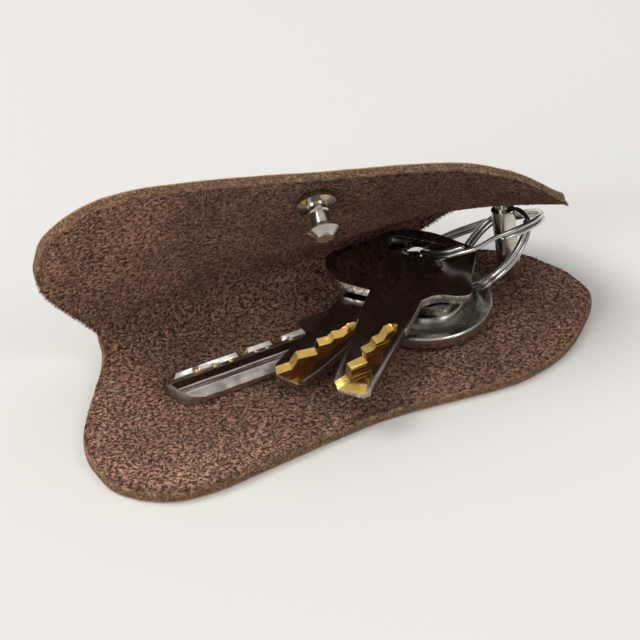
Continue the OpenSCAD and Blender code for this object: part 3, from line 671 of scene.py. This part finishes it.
def flat_key(name, key, materials):
    """A flat key: a straight blade and a splined bow, with a slot through the bow and a stepped
    pocket milled in the blade."""
    face, edge, brass = materials
    half = BLADE_W / 2
    bow = spline(np.array(KEY_BOW) * (KEY_L, KEY_W), 4)
    rough = 0.12 * cloud(bow[:, 0], bow[:, 1], 1.6, 41) * smooth((-bow[:, 1] - 4) / 3)
    bow = bow + np.column_stack([rough, -rough])
    tip = [(0, -half + TIP_CORNER), (0, half - TIP_CORNER)]
    side = np.concatenate([[(TIP_CORNER, half)], np.array(KEY_SHANK) * (KEY_L, KEY_W)])
    outline = np.concatenate([tip, side, bow, side[::-1] * (1, -1)])
    body = prism(name, outline, -KEY_T / 2, KEY_T / 2, face)
    body.data.materials.append(edge)
    for wall in body.data.polygons:
        way, at_bow = wall.normal, wall.center.x > 0.45 * KEY_L * MM
        if abs(way.z) < 0.5 and (way.x < -0.75 or (way.y < -0.1 and at_bow)):
            wall.material_index = 1
    t = np.linspace(-np.pi / 2, np.pi / 2, 17)
    run = (key["slot"] - SLOT_W) / 2
    top = np.column_stack([SLOT_W / 2 * np.sin(t), run + SLOT_W / 2 * np.cos(t)])
    hold_x, hold_y = key["hold"]
    slot = np.concatenate([top, -top]) + (SLOT_AT + hold_x, 0)
    mouth = np.array(POCKET_SLOPED + POCKET_UPRIGHT)
    slope = np.zeros(mouth.shape)
    slope[:len(POCKET_SLOPED)] = POCKET_SLOPE
    slope[0, 0] = 0
    pocket = prism("pocket_tool", mouth + slope, KEY_T / 2 - POCKET_D, KEY_T / 2 + POCKET_OVER, brass,
                   mouth - POCKET_OVER * slope / POCKET_D)
    carved(body, [prism("slot_tool", slot, -KEY_T, KEY_T, face), pocket])
    worn_edges(body, KEY_BEVEL, edge)
    matrix = turned("Z", key["way"]) @ turned("Y", -key["slope"])
    hung = matrix @ np.array((-SLOT_AT - hold_x, -hold_y, key["lift"]))
    return placed(body, matrix, on_ring(RING_A, key["angle"]) + hung)


def dimple_blade(name, face, edge, milled, satin):
    """Blade of the dimple key: one straight section with a sloped far strip, a mirror strip, a
    milled groove and a near bevel."""
    loops = [np.column_stack([np.full(len(BLADE), x), BLADE])
             for x in (DIMPLE_TIP - 1, DIMPLE_TIP + DIMPLE_L + 1)]
    obj = shell(name, *loops, (edge, face, milled, satin))
    for polygon in obj.data.polygons:
        across = polygon.center.y / MM
        for low, high, index in BLADE_STRIPS:
            if polygon.normal.z > 0.8 and low < across < high:
                polygon.material_index = index
    return obj


def dimple_key_object(materials):
    """The dimple key: blade with its dimples, a bevelled neck, and a turned bow with a rim and a
    channel, threaded by the second ring."""
    face, edge, cut, milled, satin = materials
    blade = dimple_blade("dimple_key_blade", face, edge, milled, satin)
    back, over = DIMPLE_L + 3, DIMPLE_T + 0.2
    outline = np.array(BLADE_TIP + [(back, 6), (back, -6)]) + (DIMPLE_TIP, 0)
    drawn = TIP_BEVEL_SHARE * np.array(TIP_BEVEL + [(0, 0), (0, 0)])
    carved(blade, [prism("tip_tool", outline - 0.3 * drawn, -0.5, over, edge, outline + drawn)],
           "INTERSECT")
    start, end, half = DIMPLE_TIP + DIMPLE_L, DIMPLE_TIP + DIMPLE_L + NECK_L + 1, NECK_W / 2
    neck = prism("neck_tool", [(start, -half + NECK_CORNER), (start + NECK_CORNER, -half), (end, -half),
                               (end, half), (start + NECK_CORNER, half), (start, half - NECK_CORNER)],
                 0.0, NECK_T, edge)
    bow_r, cap_r, sunk = BOW_D / 2, CAP_D / 2 + 0.05, BOW_T - CHANNEL
    bow = lathed("bow_tool", [(0, 0), (bow_r - 0.7, 0), (bow_r, 0.8), (bow_r, BOW_T - 0.3),
                              (bow_r - 0.3, BOW_T), (RIM_R, BOW_T), (RIM_R - 0.3, sunk), (cap_r, sunk),
                              (cap_r, sunk - CHANNEL), (0, sunk - CHANNEL)], edge)
    body = carved(blade, [neck, bow], "UNION")
    arc = np.radians(np.linspace(*BOW_HOLE, 15))
    arc = np.column_stack([np.cos(arc), np.sin(arc)])
    middle = (CAP_D / 2 + RIM_R) / 2
    hole = np.concatenate([(middle - HOLE_IN) * arc, (middle + HOLE_OUT) * arc[::-1]])
    tools = [prism("hole_tool", hole, -1, BOW_T + 1, edge)]
    for along, across, wide in DIMPLES:
        foot = MILLED_Z - 0.26 * wide
        profile = [(0, foot), (0.16 * wide, foot), (0.36 * wide, foot + 0.12 * wide),
                   (0.5 * wide, MILLED_Z + 0.08), (0.6 * wide, over), (0, over)]
        tools.append(lathed("dimple_tool", profile, cut, 20, (DIMPLE_TIP + along, across)))
    carved(body, tools)
    worn_edges(body, DIMPLE_BEVEL, edge, 24)
    foot = np.array([*(POST[:2] + BOW_PLACE), HIDE_T + REST_GAP]) + SHIFT
    return placed(body, turned("Z", DIMPLE_WAY), foot)


# Shader nodes


def group(name, inputs, outputs):
    """A shader node group with named sockets."""
    tree = bpy.data.node_groups.new(name, "ShaderNodeTree")
    for label, kind, default in inputs:
        socket = tree.interface.new_socket(label, in_out="INPUT", socket_type=kind)
        if default is not None:
            socket.default_value = default
    for label in outputs:
        tree.interface.new_socket(label, in_out="OUTPUT", socket_type="NodeSocketFloat")
    return tree, tree.nodes.new("NodeGroupInput"), tree.nodes.new("NodeGroupOutput")


def fill(tree, socket, value):
    """Sets a socket to a value, or links another socket to it."""
    if isinstance(value, bpy.types.NodeSocket):
        tree.links.new(value, socket)
    else:
        socket.default_value = value


def add(tree, kind, values=None, **settings):
    """A node with its settings, and its inputs set to values or linked to sockets."""
    node = tree.nodes.new(kind)
    for key, value in settings.items():
        setattr(node, key, value)
    for key, value in (values or {}).items():
        fill(tree, node.inputs[key], value)
    return node


def ramp(tree, source, stops):
    """A colour ramp through (place, colour) stops."""
    node = add(tree, "ShaderNodeValToRGB", {"Fac": source})
    elements = node.color_ramp.elements
    while len(elements) < len(stops):
        elements.new(0.5)
    for element, (place, colour) in zip(elements, stops):
        element.position = place
        element.color = (*colour, 1)
    return node.outputs["Color"]


def noise(tree, vector, scale, detail, roughness=0.5):
    """One Noise Texture's value."""
    values = {"Vector": vector, "Scale": scale, "Detail": detail, "Roughness": roughness}
    return add(tree, "ShaderNodeTexNoise", values).outputs["Fac"]


def math_node(tree, operation, a, b):
    """One Math node's output."""
    return add(tree, "ShaderNodeMath", {0: a, 1: b}, operation=operation).outputs[0]


def times(tree, a, b):
    """The product of two values."""
    return math_node(tree, "MULTIPLY", a, b)


def mapped(tree, source, low, high, to_low=0.0, to_high=1.0):
    """A value moved from one range to another, smoothly and clamped."""
    values = {"Value": source, "From Min": low, "From Max": high, "To Min": to_low, "To Max": to_high}
    return add(tree, "ShaderNodeMapRange", values, interpolation_type="SMOOTHSTEP").outputs["Result"]


def mixed(tree, factor, a, b, mode="MIX"):
    """Two colours mixed by a factor."""
    node = add(tree, "ShaderNodeMix", data_type="RGBA", blend_type=mode)
    for number, value in ((0, factor), (6, a), (7, b)):
        fill(tree, node.inputs[number], (*value, 1) if isinstance(value, tuple) else value)
    return node.outputs[2]


def shade(colour, share):
    """The colour made darker or lighter by a share, up to 1."""
    return tuple(min(1, c * share) for c in colour)


def nap_group():
    """Suede nap: stretched noise for the lie of the fibres, blotches of brushing, pits that sink the
    height and carry painted shade, and lighter flecks."""
    tree, source, out = group("Suede Nap", [("Vector", "NodeSocketVector", None),
                                            ("Fibre Scale", "NodeSocketFloat", 900.0)],
                              ("Shade", "Fleck", "Pit", "Height"))
    vector, scale = source.outputs["Vector"], source.outputs["Fibre Scale"]
    warp = add(tree, "ShaderNodeTexNoise", {"Vector": vector, "Scale": 210.0, "Detail": 2.0})
    bent = add(tree, "ShaderNodeVectorMath", {0: warp.outputs["Color"], 1: (0.003, 0.003, 0.0)},
               operation="MULTIPLY")
    moved = add(tree, "ShaderNodeVectorMath", {0: vector, 1: bent.outputs[0]},
                operation="ADD").outputs[0]
    lie = add(tree, "ShaderNodeMapping", {"Vector": moved, "Rotation": (0, 0, math.radians(38)),
                                          "Scale": (0.8, 1.0, 1.0)}).outputs[0]
    fibre = noise(tree, lie, scale, 3.0, 0.7)
    tuft = noise(tree, moved, 850.0, 3.0, 0.7)
    blotch = noise(tree, vector, 75.0, 3.0)
    fleck = noise(tree, vector, 900.0, 1.0)
    pit = noise(tree, lie, 1500.0, 2.0, 0.6)
    tone = math_node(tree, "ADD", times(tree, fibre, 0.55), times(tree, tuft, 0.3))
    tone = math_node(tree, "ADD", tone, times(tree, blotch, 0.15))
    # Pit mask: it sinks the height below, and as the Pit output it is painted into the suede as shade.
    sunk = mapped(tree, pit, 0.52, 0.4)
    height = math_node(tree, "ADD", times(tree, fibre, 0.6), times(tree, tuft, 0.5))
    height = math_node(tree, "SUBTRACT", height, times(tree, sunk, 0.7))
    tree.links.new(mapped(tree, tone, 0.38, 0.62), out.inputs["Shade"])
    tree.links.new(mapped(tree, fleck, 0.72, 0.78), out.inputs["Fleck"])
    tree.links.new(sunk, out.inputs["Pit"])
    tree.links.new(height, out.inputs["Height"])
    return tree


def wear_group():
    """Handled metal: cloudy tarnish, and fine scratches from noise stretched along two directions."""
    tree, source, out = group("Handled Metal", [("Vector", "NodeSocketVector", None),
                                                ("Cloud Scale", "NodeSocketFloat", 160.0),
                                                ("Scratch Scale", "NodeSocketFloat", 900.0)],
                              ("Tarnish", "Scratch", "Height"))
    vector = source.outputs["Vector"]
    clouds = noise(tree, vector, source.outputs["Cloud Scale"], 4.0)
    lines = []
    for angle in (25, 112):
        drawn = add(tree, "ShaderNodeMapping", {"Vector": vector, "Scale": (0.03, 1.0, 0.3),
                                                "Rotation": (0.2, 0.1, math.radians(angle))})
        line = noise(tree, drawn.outputs[0], source.outputs["Scratch Scale"], 2.0)
        lines.append(mapped(tree, line, 0.60, 0.72))
    scratch = math_node(tree, "MAXIMUM", *lines)
    tree.links.new(mapped(tree, clouds, 0.35, 0.7), out.inputs["Tarnish"])
    tree.links.new(scratch, out.inputs["Scratch"])
    tree.links.new(math_node(tree, "SUBTRACT", clouds, scratch), out.inputs["Height"])
    return tree


def place_group(tree, name, maker, values):
    """The named group, made the first time it is asked for, as a node with its own values."""
    shared = bpy.data.node_groups.get(name) or maker()
    return add(tree, "ShaderNodeGroup", values, node_tree=shared)


# Materials


def blank_material(name):
    """A node material with one Principled shader."""
    material = bpy.data.materials.new(name)
    material.use_nodes = True
    return material, material.node_tree, material.node_tree.nodes["Principled BSDF"]


def hide_material(sizes):
    """Brown suede inside, a tan cut edge with darker layers, and a smooth dark grain outside, chosen
    by the share of the thickness."""
    material, tree, shader = blank_material("hide_leather")
    place = add(tree, "ShaderNodeAttribute", attribute_name="pattern").outputs["Vector"]
    through = add(tree, "ShaderNodeAttribute", attribute_name="through").outputs["Fac"]
    inwards = add(tree, "ShaderNodeCombineXYZ", {"Z": times(tree, through, HIDE_T * MM)}).outputs[0]
    place = add(tree, "ShaderNodeVectorMath", {0: place, 1: inwards}, operation="ADD").outputs[0]
    nap = place_group(tree, "Suede Nap", nap_group, {"Vector": place, "Fibre Scale": 2700.0})
    white = (1.0, 1.0, 1.0)
    tones = [(0.0, shade(sizes.suede, 0.18)), (0.5, shade(sizes.suede, 1)),
             (1.0, shade(sizes.suede, 2.2))]
    suede = ramp(tree, nap.outputs["Shade"], tones)
    # Painted shade in the nap's pits: the suede is darkened almost to black where the pit mask is high.
    suede = mixed(tree, times(tree, nap.outputs["Pit"], 0.92), suede, shade(sizes.suede, 0.08))
    split = add(tree, "ShaderNodeSeparateXYZ", {"Vector": place})
    # Painted shade: the upper flap's suede is multiplied darker, down to about a third, towards its right
    # end and away from the bend.
    painted_shade_right = times(tree, mapped(tree, split.outputs["X"], 0.0, 0.085),
                    mapped(tree, split.outputs["Y"], 0.014, 0.042))
    suede = mixed(tree, 1.0, suede, mixed(tree, painted_shade_right, white, (0.4, 0.34, 0.31)), "MULTIPLY")
    # Painted light: the suede is up to 1.3 times lighter towards the hide's left end, fading out 55 mm from
    # it.
    painted_light_left = mapped(tree, split.outputs["X"], 0.055, 0.0)
    suede = mixed(tree, 1.0, suede, mixed(tree, painted_light_left, white, (1.3, 1.3, 1.3)), "MULTIPLY")
    suede = mixed(tree, times(tree, nap.outputs["Fleck"], 0.5), suede, (0.42, 0.22, 0.11))
    layers = noise(tree, place, 2100.0, 3.0, 0.7)
    threads = noise(tree, place, 1000.0, 3.0)
    core = ramp(tree, layers, [(0.36, shade(sizes.edge, 0.16)), (0.54, shade(sizes.edge, 0.42)),
                               (0.72, shade(sizes.edge, 1))])
    edge = mixed(tree, mapped(tree, threads, 0.44, 0.62), core, shade(sizes.edge, 0.8))
    pores = add(tree, "ShaderNodeTexVoronoi", {"Vector": place, "Scale": 1500.0}).outputs["Distance"]
    grain = ramp(tree, pores, [(0.0, shade(sizes.grain, 1.15)), (0.8, shade(sizes.grain, 0.6))])
    ragged = math_node(tree, "SUBTRACT", noise(tree, place, 1300.0, 3.0), 0.5)
    level = math_node(tree, "ADD", through, times(tree, ragged, 0.45))
    colour = mixed(tree, mapped(tree, level, 0.1, 0.2), suede, edge)
    colour = mixed(tree, mapped(tree, level, 0.28, 0.42), colour, core)
    colour = mixed(tree, mapped(tree, through, 0.8, 0.87), colour, shade(sizes.edge, 1))
    colour = mixed(tree, mapped(tree, through, 0.955, 0.99), colour, grain)
    height = add(tree, "ShaderNodeMix", {0: mapped(tree, through, 0.85, 0.95),
                                         2: nap.outputs["Height"], 3: times(tree, pores, 0.35)})
    bump = add(tree, "ShaderNodeBump", {"Strength": 1.0, "Distance": 0.0005,
                                        "Height": height.outputs[0]})
    for socket, value in (("Base Color", colour), ("Normal", bump.outputs["Normal"]),
                          ("Roughness", mapped(tree, through, 0.8, 0.95, 0.93, 0.5)),
                          ("Sheen Weight", 0.25), ("Sheen Roughness", 0.5),
                          ("Sheen Tint", (0.75, 0.55, 0.45, 1)), ("Specular IOR Level", 0.2)):
        fill(tree, shader.inputs[socket], value)
    return material


def metal_material(name, colour, dark, roughness, cloud_scale=160.0, scratch_scale=900.0,
                   bump_strength=0.12):
    """Handled metal: its colour dulled by tarnish, rougher where it is tarnished, with fine scratches
    in its normal."""
    material, tree, shader = blank_material(name)
    place = add(tree, "ShaderNodeTexCoord").outputs["Object"]
    wear = place_group(tree, "Handled Metal", wear_group,
                       {"Vector": place, "Cloud Scale": cloud_scale, "Scratch Scale": scratch_scale})
    base = mixed(tree, wear.outputs["Tarnish"], tuple(colour), tuple(dark))
    base = mixed(tree, times(tree, wear.outputs["Scratch"], 0.35), base, shade(colour, 1.2))
    rough = mapped(tree, wear.outputs["Tarnish"], 0.0, 1.0, roughness, roughness + 0.16)
    bump = add(tree, "ShaderNodeBump", {"Strength": bump_strength, "Distance": 0.0001,
                                        "Height": wear.outputs["Height"]})
    for socket, value in (("Base Color", base), ("Roughness", rough), ("Metallic", 1.0),
                          ("Normal", bump.outputs["Normal"])):
        fill(tree, shader.inputs[socket], value)
    return material


def dress(node, material):
    """The CAD node's material is changed for the given one."""
    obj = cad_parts[node]
    for slot in obj.material_slots:
        slot.material = material
    if not obj.material_slots:
        obj.data.materials.append(material)


# Settings

COLOUR = {"size": 3, "subtype": "COLOR", "min": 0, "max": 1}


class KEYCASE_HideSettings(bpy.types.PropertyGroup):
    """Colours and nap of the hide."""

    suede: FloatVectorProperty(name="Suede", description="Colour of the flesh side",
                               default=(0.31, 0.168, 0.113), **COLOUR)
    edge: FloatVectorProperty(name="Cut Edge", description="Colour of the cut edge",
                              default=(0.56, 0.33, 0.18), **COLOUR)
    grain: FloatVectorProperty(name="Grain", description="Colour of the smooth outside",
                               default=(0.11, 0.058, 0.03), **COLOUR)
    fibre_length: FloatProperty(name="Fibre Length", description="Length of the nap's fibres",
                                default=0.0006, subtype="DISTANCE", unit="LENGTH", min=0.0002,
                                max=0.004)
    fibres: IntProperty(name="Fibres", description="Fibres on the lower half of the hide",
                        default=19000, min=0, max=19000)


class KEYCASE_MetalSettings(bpy.types.PropertyGroup):
    """Colours of the metal parts."""

    nickel: FloatVectorProperty(name="Nickel", description="Colour of the plated keys and post",
                                default=(0.62, 0.57, 0.5), **COLOUR)
    face: FloatVectorProperty(name="Key Face", description="Colour of the keys' dark mirror faces",
                              default=(0.34, 0.31, 0.29), **COLOUR)
    brass: FloatVectorProperty(name="Brass", description="Colour of the milled pockets",
                               default=(0.86, 0.55, 0.13), **COLOUR)
    steel: FloatVectorProperty(name="Ring Steel", description="Colour of the split rings",
                               default=(0.72, 0.71, 0.69), **COLOUR)


class KEYCASE_StageSettings(bpy.types.PropertyGroup):
    """Floor, light and camera."""

    floor: FloatVectorProperty(name="Floor", description="Colour of the floor and backdrop",
                               default=(0.86, 0.842, 0.805), **COLOUR)
    key_power: FloatProperty(name="Key Lamp", description="Power of the large lamp", default=21.0,
                             unit="POWER", min=0, max=200)
    fill: FloatProperty(name="Fill", description="Strength of the surrounding light", default=0.75,
                        min=0, max=2)


# Pieces


class KEYCASE_OT_hide(bpy.types.Operator):
    """Lays the hide as one leather from the sheet's formula, divided only where the post clamps it"""

    bl_idname = "keycase.hide"
    bl_label = "Hide"

    def execute(self, context):
        material = hide_material(context.scene.keycase_hide)
        split = bridge_column()
        patch = joined(hide_patch("lower", open_sides=("bottom",)),
                       hide_patch("upper", 0, split + 1, open_sides=("bottom",)))
        main = hide_object("hide_main", patch, material, 2e-6)
        bridge = hide_object("hide_bridge", hide_patch("upper", split), material, 2e-6)
        tab = hide_object("hide_tab", hide_patch("tab"), material, 2e-6)
        along = (SLIT_END - BUTTONHOLE) / np.linalg.norm(SLIT_END - BUTTONHOLE)
        aside = np.array([-along[1], along[0]]) * SLIT_HALF
        slit = np.array([BUTTONHOLE + aside, BUTTONHOLE - aside, SLIT_END - aside, SLIT_END + aside])
        low, high = -1, HIDE_T + 1
        hole = lathed("hole_tool", [(0, low), (HOLE_R, low), (HOLE_R, high), (0, high)], material, 48,
                      BUTTONHOLE + SHIFT[:2])
        carved(main, [hole, prism("slit_tool", slit + SHIFT[:2], low, high, material)],
               solver="MANIFOLD")
        bend_hide(main)
        bend_hide(bridge)
        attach(tab, "case")
        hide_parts("lower_flap", "fold", "upper_flap")
        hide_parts("post_tab")
        for piece in (main, bridge, tab):
            piece.data.set_sharp_from_angle(angle=math.radians(60))
        return {"FINISHED"}


class KEYCASE_OT_nap(bpy.types.Operator):
    """Grows the nap's fibres on the suede and a ragged fringe along the cut edges"""

    bl_idname = "keycase.nap"
    bl_label = "Nap"

    def execute(self, context):
        sizes = context.scene.keycase_hide
        material = bpy.data.materials["hide_leather"]
        length = sizes.fibre_length / MM
        split = bridge_column()
        plots = (("nap_lower", "lower", 1.0, 0, None, ("left", "top", "right")),
                 ("nap_upper", "upper", 0.8, 0, split + 1, ("left", "top")),
                 ("nap_bridge", "upper", 0.45, split, None, ("top",)),
                 ("nap_tab", "tab", 0.35, 0, None, ("bottom", "top", "right")))
        for k, (name, patch, share, first, last, outer) in enumerate(plots):
            nap = nap_of(patch, int(sizes.fibres * share), length, 60 + k, first, last)
            fringe = fringe_of(patch, int(FRINGE_FIBRES * share), length * FRINGE_LENGTH, 80 + k,
                               outer, first, last)
            piece = hide_object(name, joined(nap, fringe), material)
            if name in ("nap_lower", "nap_tab"):
                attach(piece, "case")
            else:
                bend_hide(piece)
        return {"FINISHED"}


class KEYCASE_OT_post_and_stud(bpy.types.Operator):
    """Finishes the post, the stud and their screws in worn nickel"""

    bl_idname = "keycase.post_and_stud"
    bl_label = "Post and Stud"

    def execute(self, context):
        nickel = context.scene.keycase_metal.nickel
        post = metal_material("post_nickel", nickel, shade(nickel, 0.72), 0.1)
        for node in ("post_barrel", "post_screw", "stud", "stud_screw"):
            dress(node, post)
        return {"FINISHED"}


class KEYCASE_OT_rings(bpy.types.Operator):
    """Winds both split rings from a flattened round wire"""

    bl_idname = "keycase.rings"
    bl_label = "Split Rings"

    def execute(self, context):
        steel = context.scene.keycase_metal.steel
        material = metal_material("ring_steel_wire", steel, shade(steel, 0.7), 0.1)
        for name, node, ring in (("ring_a_wire", "ring_a", RING_A), ("ring_b_wire", "ring_b", RING_B)):
            piece = mesh_object(name, *coil_points(ring))
            piece.data.materials.append(material)
            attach(piece, "rings")
            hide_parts(node)
        return {"FINISHED"}


class KEYCASE_OT_flat_keys(bpy.types.Operator):
    """Cuts the two flat keys with their slots and milled pockets"""

    bl_idname = "keycase.flat_keys"
    bl_label = "Flat Keys"

    def execute(self, context):
        sizes = context.scene.keycase_metal
        face = metal_material("key_face_nickel", sizes.face, shade(sizes.face, 0.8), 0.1,
                              bump_strength=0.05)
        edge = metal_material("key_worn_edge", sizes.nickel, shade(sizes.nickel, 0.45), 0.26, 1100.0,
                              1600.0, 0.8)
        brass = metal_material("key_cut_brass", sizes.brass, shade(sizes.brass, 0.8), 0.1, 500.0,
                               1400.0, 0.3)
        for name, node, key, body in (("top_key_blank", "key_1", KEY_1, "top_key"),
                                      ("middle_key_blank", "key_2", KEY_2, "rings")):
            piece = flat_key(name, key, (face, edge, brass))
            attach(piece, body)
            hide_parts(node)
        return {"FINISHED"}


class KEYCASE_OT_dimple_key(bpy.types.Operator):
    """Makes the dimple key with its round bow, and finishes its cap"""

    bl_idname = "keycase.dimple_key"
    bl_label = "Dimple Key"

    def execute(self, context):
        sizes = context.scene.keycase_metal
        face = bpy.data.materials["key_face_nickel"]
        edge = metal_material("dimple_nickel_silver", (0.62, 0.59, 0.54), (0.4, 0.375, 0.34), 0.24,
                              220.0, 1300.0, 0.3)
        pale_brass = tuple(0.5 * a + 0.5 * b for a, b in zip(sizes.brass, sizes.nickel))
        cut = metal_material("dimple_cut", pale_brass, (0.4, 0.34, 0.24), 0.28, 300.0)
        milled = metal_material("dimple_milled", (0.8, 0.77, 0.7), (0.4, 0.36, 0.28), 0.34, 900.0,
                                2200.0, 0.9)
        satin = metal_material("dimple_satin", (0.46, 0.41, 0.37), (0.3, 0.265, 0.24), 0.34, 400.0,
                               1500.0, 0.4)
        piece = dimple_key_object((face, edge, cut, milled, satin))
        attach(piece, "rings")
        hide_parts("dimple_key")
        dress("bow_cap", edge)
        return {"FINISHED"}


class KEYCASE_OT_stage(bpy.types.Operator):
    """Sets the near-white floor, the soft lamps and the camera"""

    bl_idname = "keycase.stage"
    bl_label = "Stage"

    def execute(self, context):
        sizes = context.scene.keycase_stage
        corners = FLOOR_HALF * np.array([(-1, -1, 0), (1, -1, 0), (1, 1, 0), (-1, 1, 0)])
        floor = mesh_object("stage_floor", corners, [(0, 1, 2, 3)], False)
        material, tree, shader = blank_material("stage_paper")
        fill(tree, shader.inputs["Base Color"], (*sizes.floor, 1))
        fill(tree, shader.inputs["Roughness"], 0.9)
        floor.data.materials.append(material)
        world = bpy.data.worlds.new("studio")
        world.use_nodes = True
        tree = world.node_tree
        way = add(tree, "ShaderNodeTexCoord").outputs["Generated"]
        height = add(tree, "ShaderNodeSeparateXYZ", {"Vector": way}).outputs["Z"]
        background = tree.nodes["Background"]
        fill(tree, background.inputs["Color"], ramp(tree, height, SKY))
        fill(tree, background.inputs["Strength"], sizes.fill)
        context.scene.world = world
        for name, place, size, share in LAMPS:
            data = bpy.data.lights.new(name, "AREA")
            data.energy = sizes.key_power * share
            data.size = size
            lamp = linked(name, data)
            lamp.location = place
            aim = Vector((0, 0, 0.01)) - Vector(place)
            lamp.rotation_euler = aim.to_track_quat("-Z", "Y").to_euler()
        azimuth, elevation = math.radians(CAMERA_AZIMUTH), math.radians(CAMERA_ELEVATION)
        offset = Vector((math.sin(azimuth) * math.cos(elevation),
                         -math.cos(azimuth) * math.cos(elevation), math.sin(elevation)))
        data = bpy.data.cameras.new("photo_camera")
        data.sensor_width = 36.0
        data.lens = CAMERA_LENS
        data.clip_start, data.clip_end = 0.01, 10.0
        camera = linked("photo_camera", data)
        camera.location = Vector(CAMERA_TARGET) + CAMERA_DISTANCE * offset
        camera.rotation_euler = (-offset).to_track_quat("-Z", "Y").to_euler()
        context.scene.camera = camera
        context.scene.view_settings.view_transform = "Standard"
        return {"FINISHED"}


class KEYCASE_PT_panel(bpy.types.Panel):
    """Sizes, colours and steps of the key case"""

    bl_label = "Key Case"
    bl_idname = "KEYCASE_PT_panel"
    bl_space_type = "VIEW_3D"
    bl_region_type = "UI"
    bl_category = "Key Case"

    def draw(self, context):
        layout = self.layout
        for label in ("Hide", "Metal", "Stage"):
            box = layout.box()
            box.label(text=label)
            sizes = getattr(context.scene, f"keycase_{label.lower()}")
            for key in sizes.bl_rna.properties.keys():
                if key not in {"rna_type", "name"}:
                    box.prop(sizes, key)
        for operator in OPERATORS:
            layout.operator(operator.bl_idname)


SETTINGS = (KEYCASE_HideSettings, KEYCASE_MetalSettings, KEYCASE_StageSettings)
OPERATORS = (KEYCASE_OT_stage, KEYCASE_OT_hide, KEYCASE_OT_nap, KEYCASE_OT_post_and_stud,
             KEYCASE_OT_rings, KEYCASE_OT_flat_keys, KEYCASE_OT_dimple_key)


def register():
    """Adds the settings, the operators and the panel."""
    for cls in (*SETTINGS, *OPERATORS, KEYCASE_PT_panel):
        bpy.utils.register_class(cls)
    bpy.types.Scene.keycase_hide = PointerProperty(type=KEYCASE_HideSettings)
    bpy.types.Scene.keycase_metal = PointerProperty(type=KEYCASE_MetalSettings)
    bpy.types.Scene.keycase_stage = PointerProperty(type=KEYCASE_StageSettings)


def unregister():
    """Takes away what register added."""
    for name in ("keycase_hide", "keycase_metal", "keycase_stage"):
        delattr(bpy.types.Scene, name)
    for cls in reversed((*SETTINGS, *OPERATORS, KEYCASE_PT_panel)):
        bpy.utils.unregister_class(cls)


def main():
    register()
    bpy.ops.keycase.stage()
    bpy.ops.keycase.hide()
    bpy.ops.keycase.nap()
    bpy.ops.keycase.post_and_stud()
    bpy.ops.keycase.rings()
    bpy.ops.keycase.flat_keys()
    bpy.ops.keycase.dimple_key()
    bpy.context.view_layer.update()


if __name__ == "__main__":
    main()
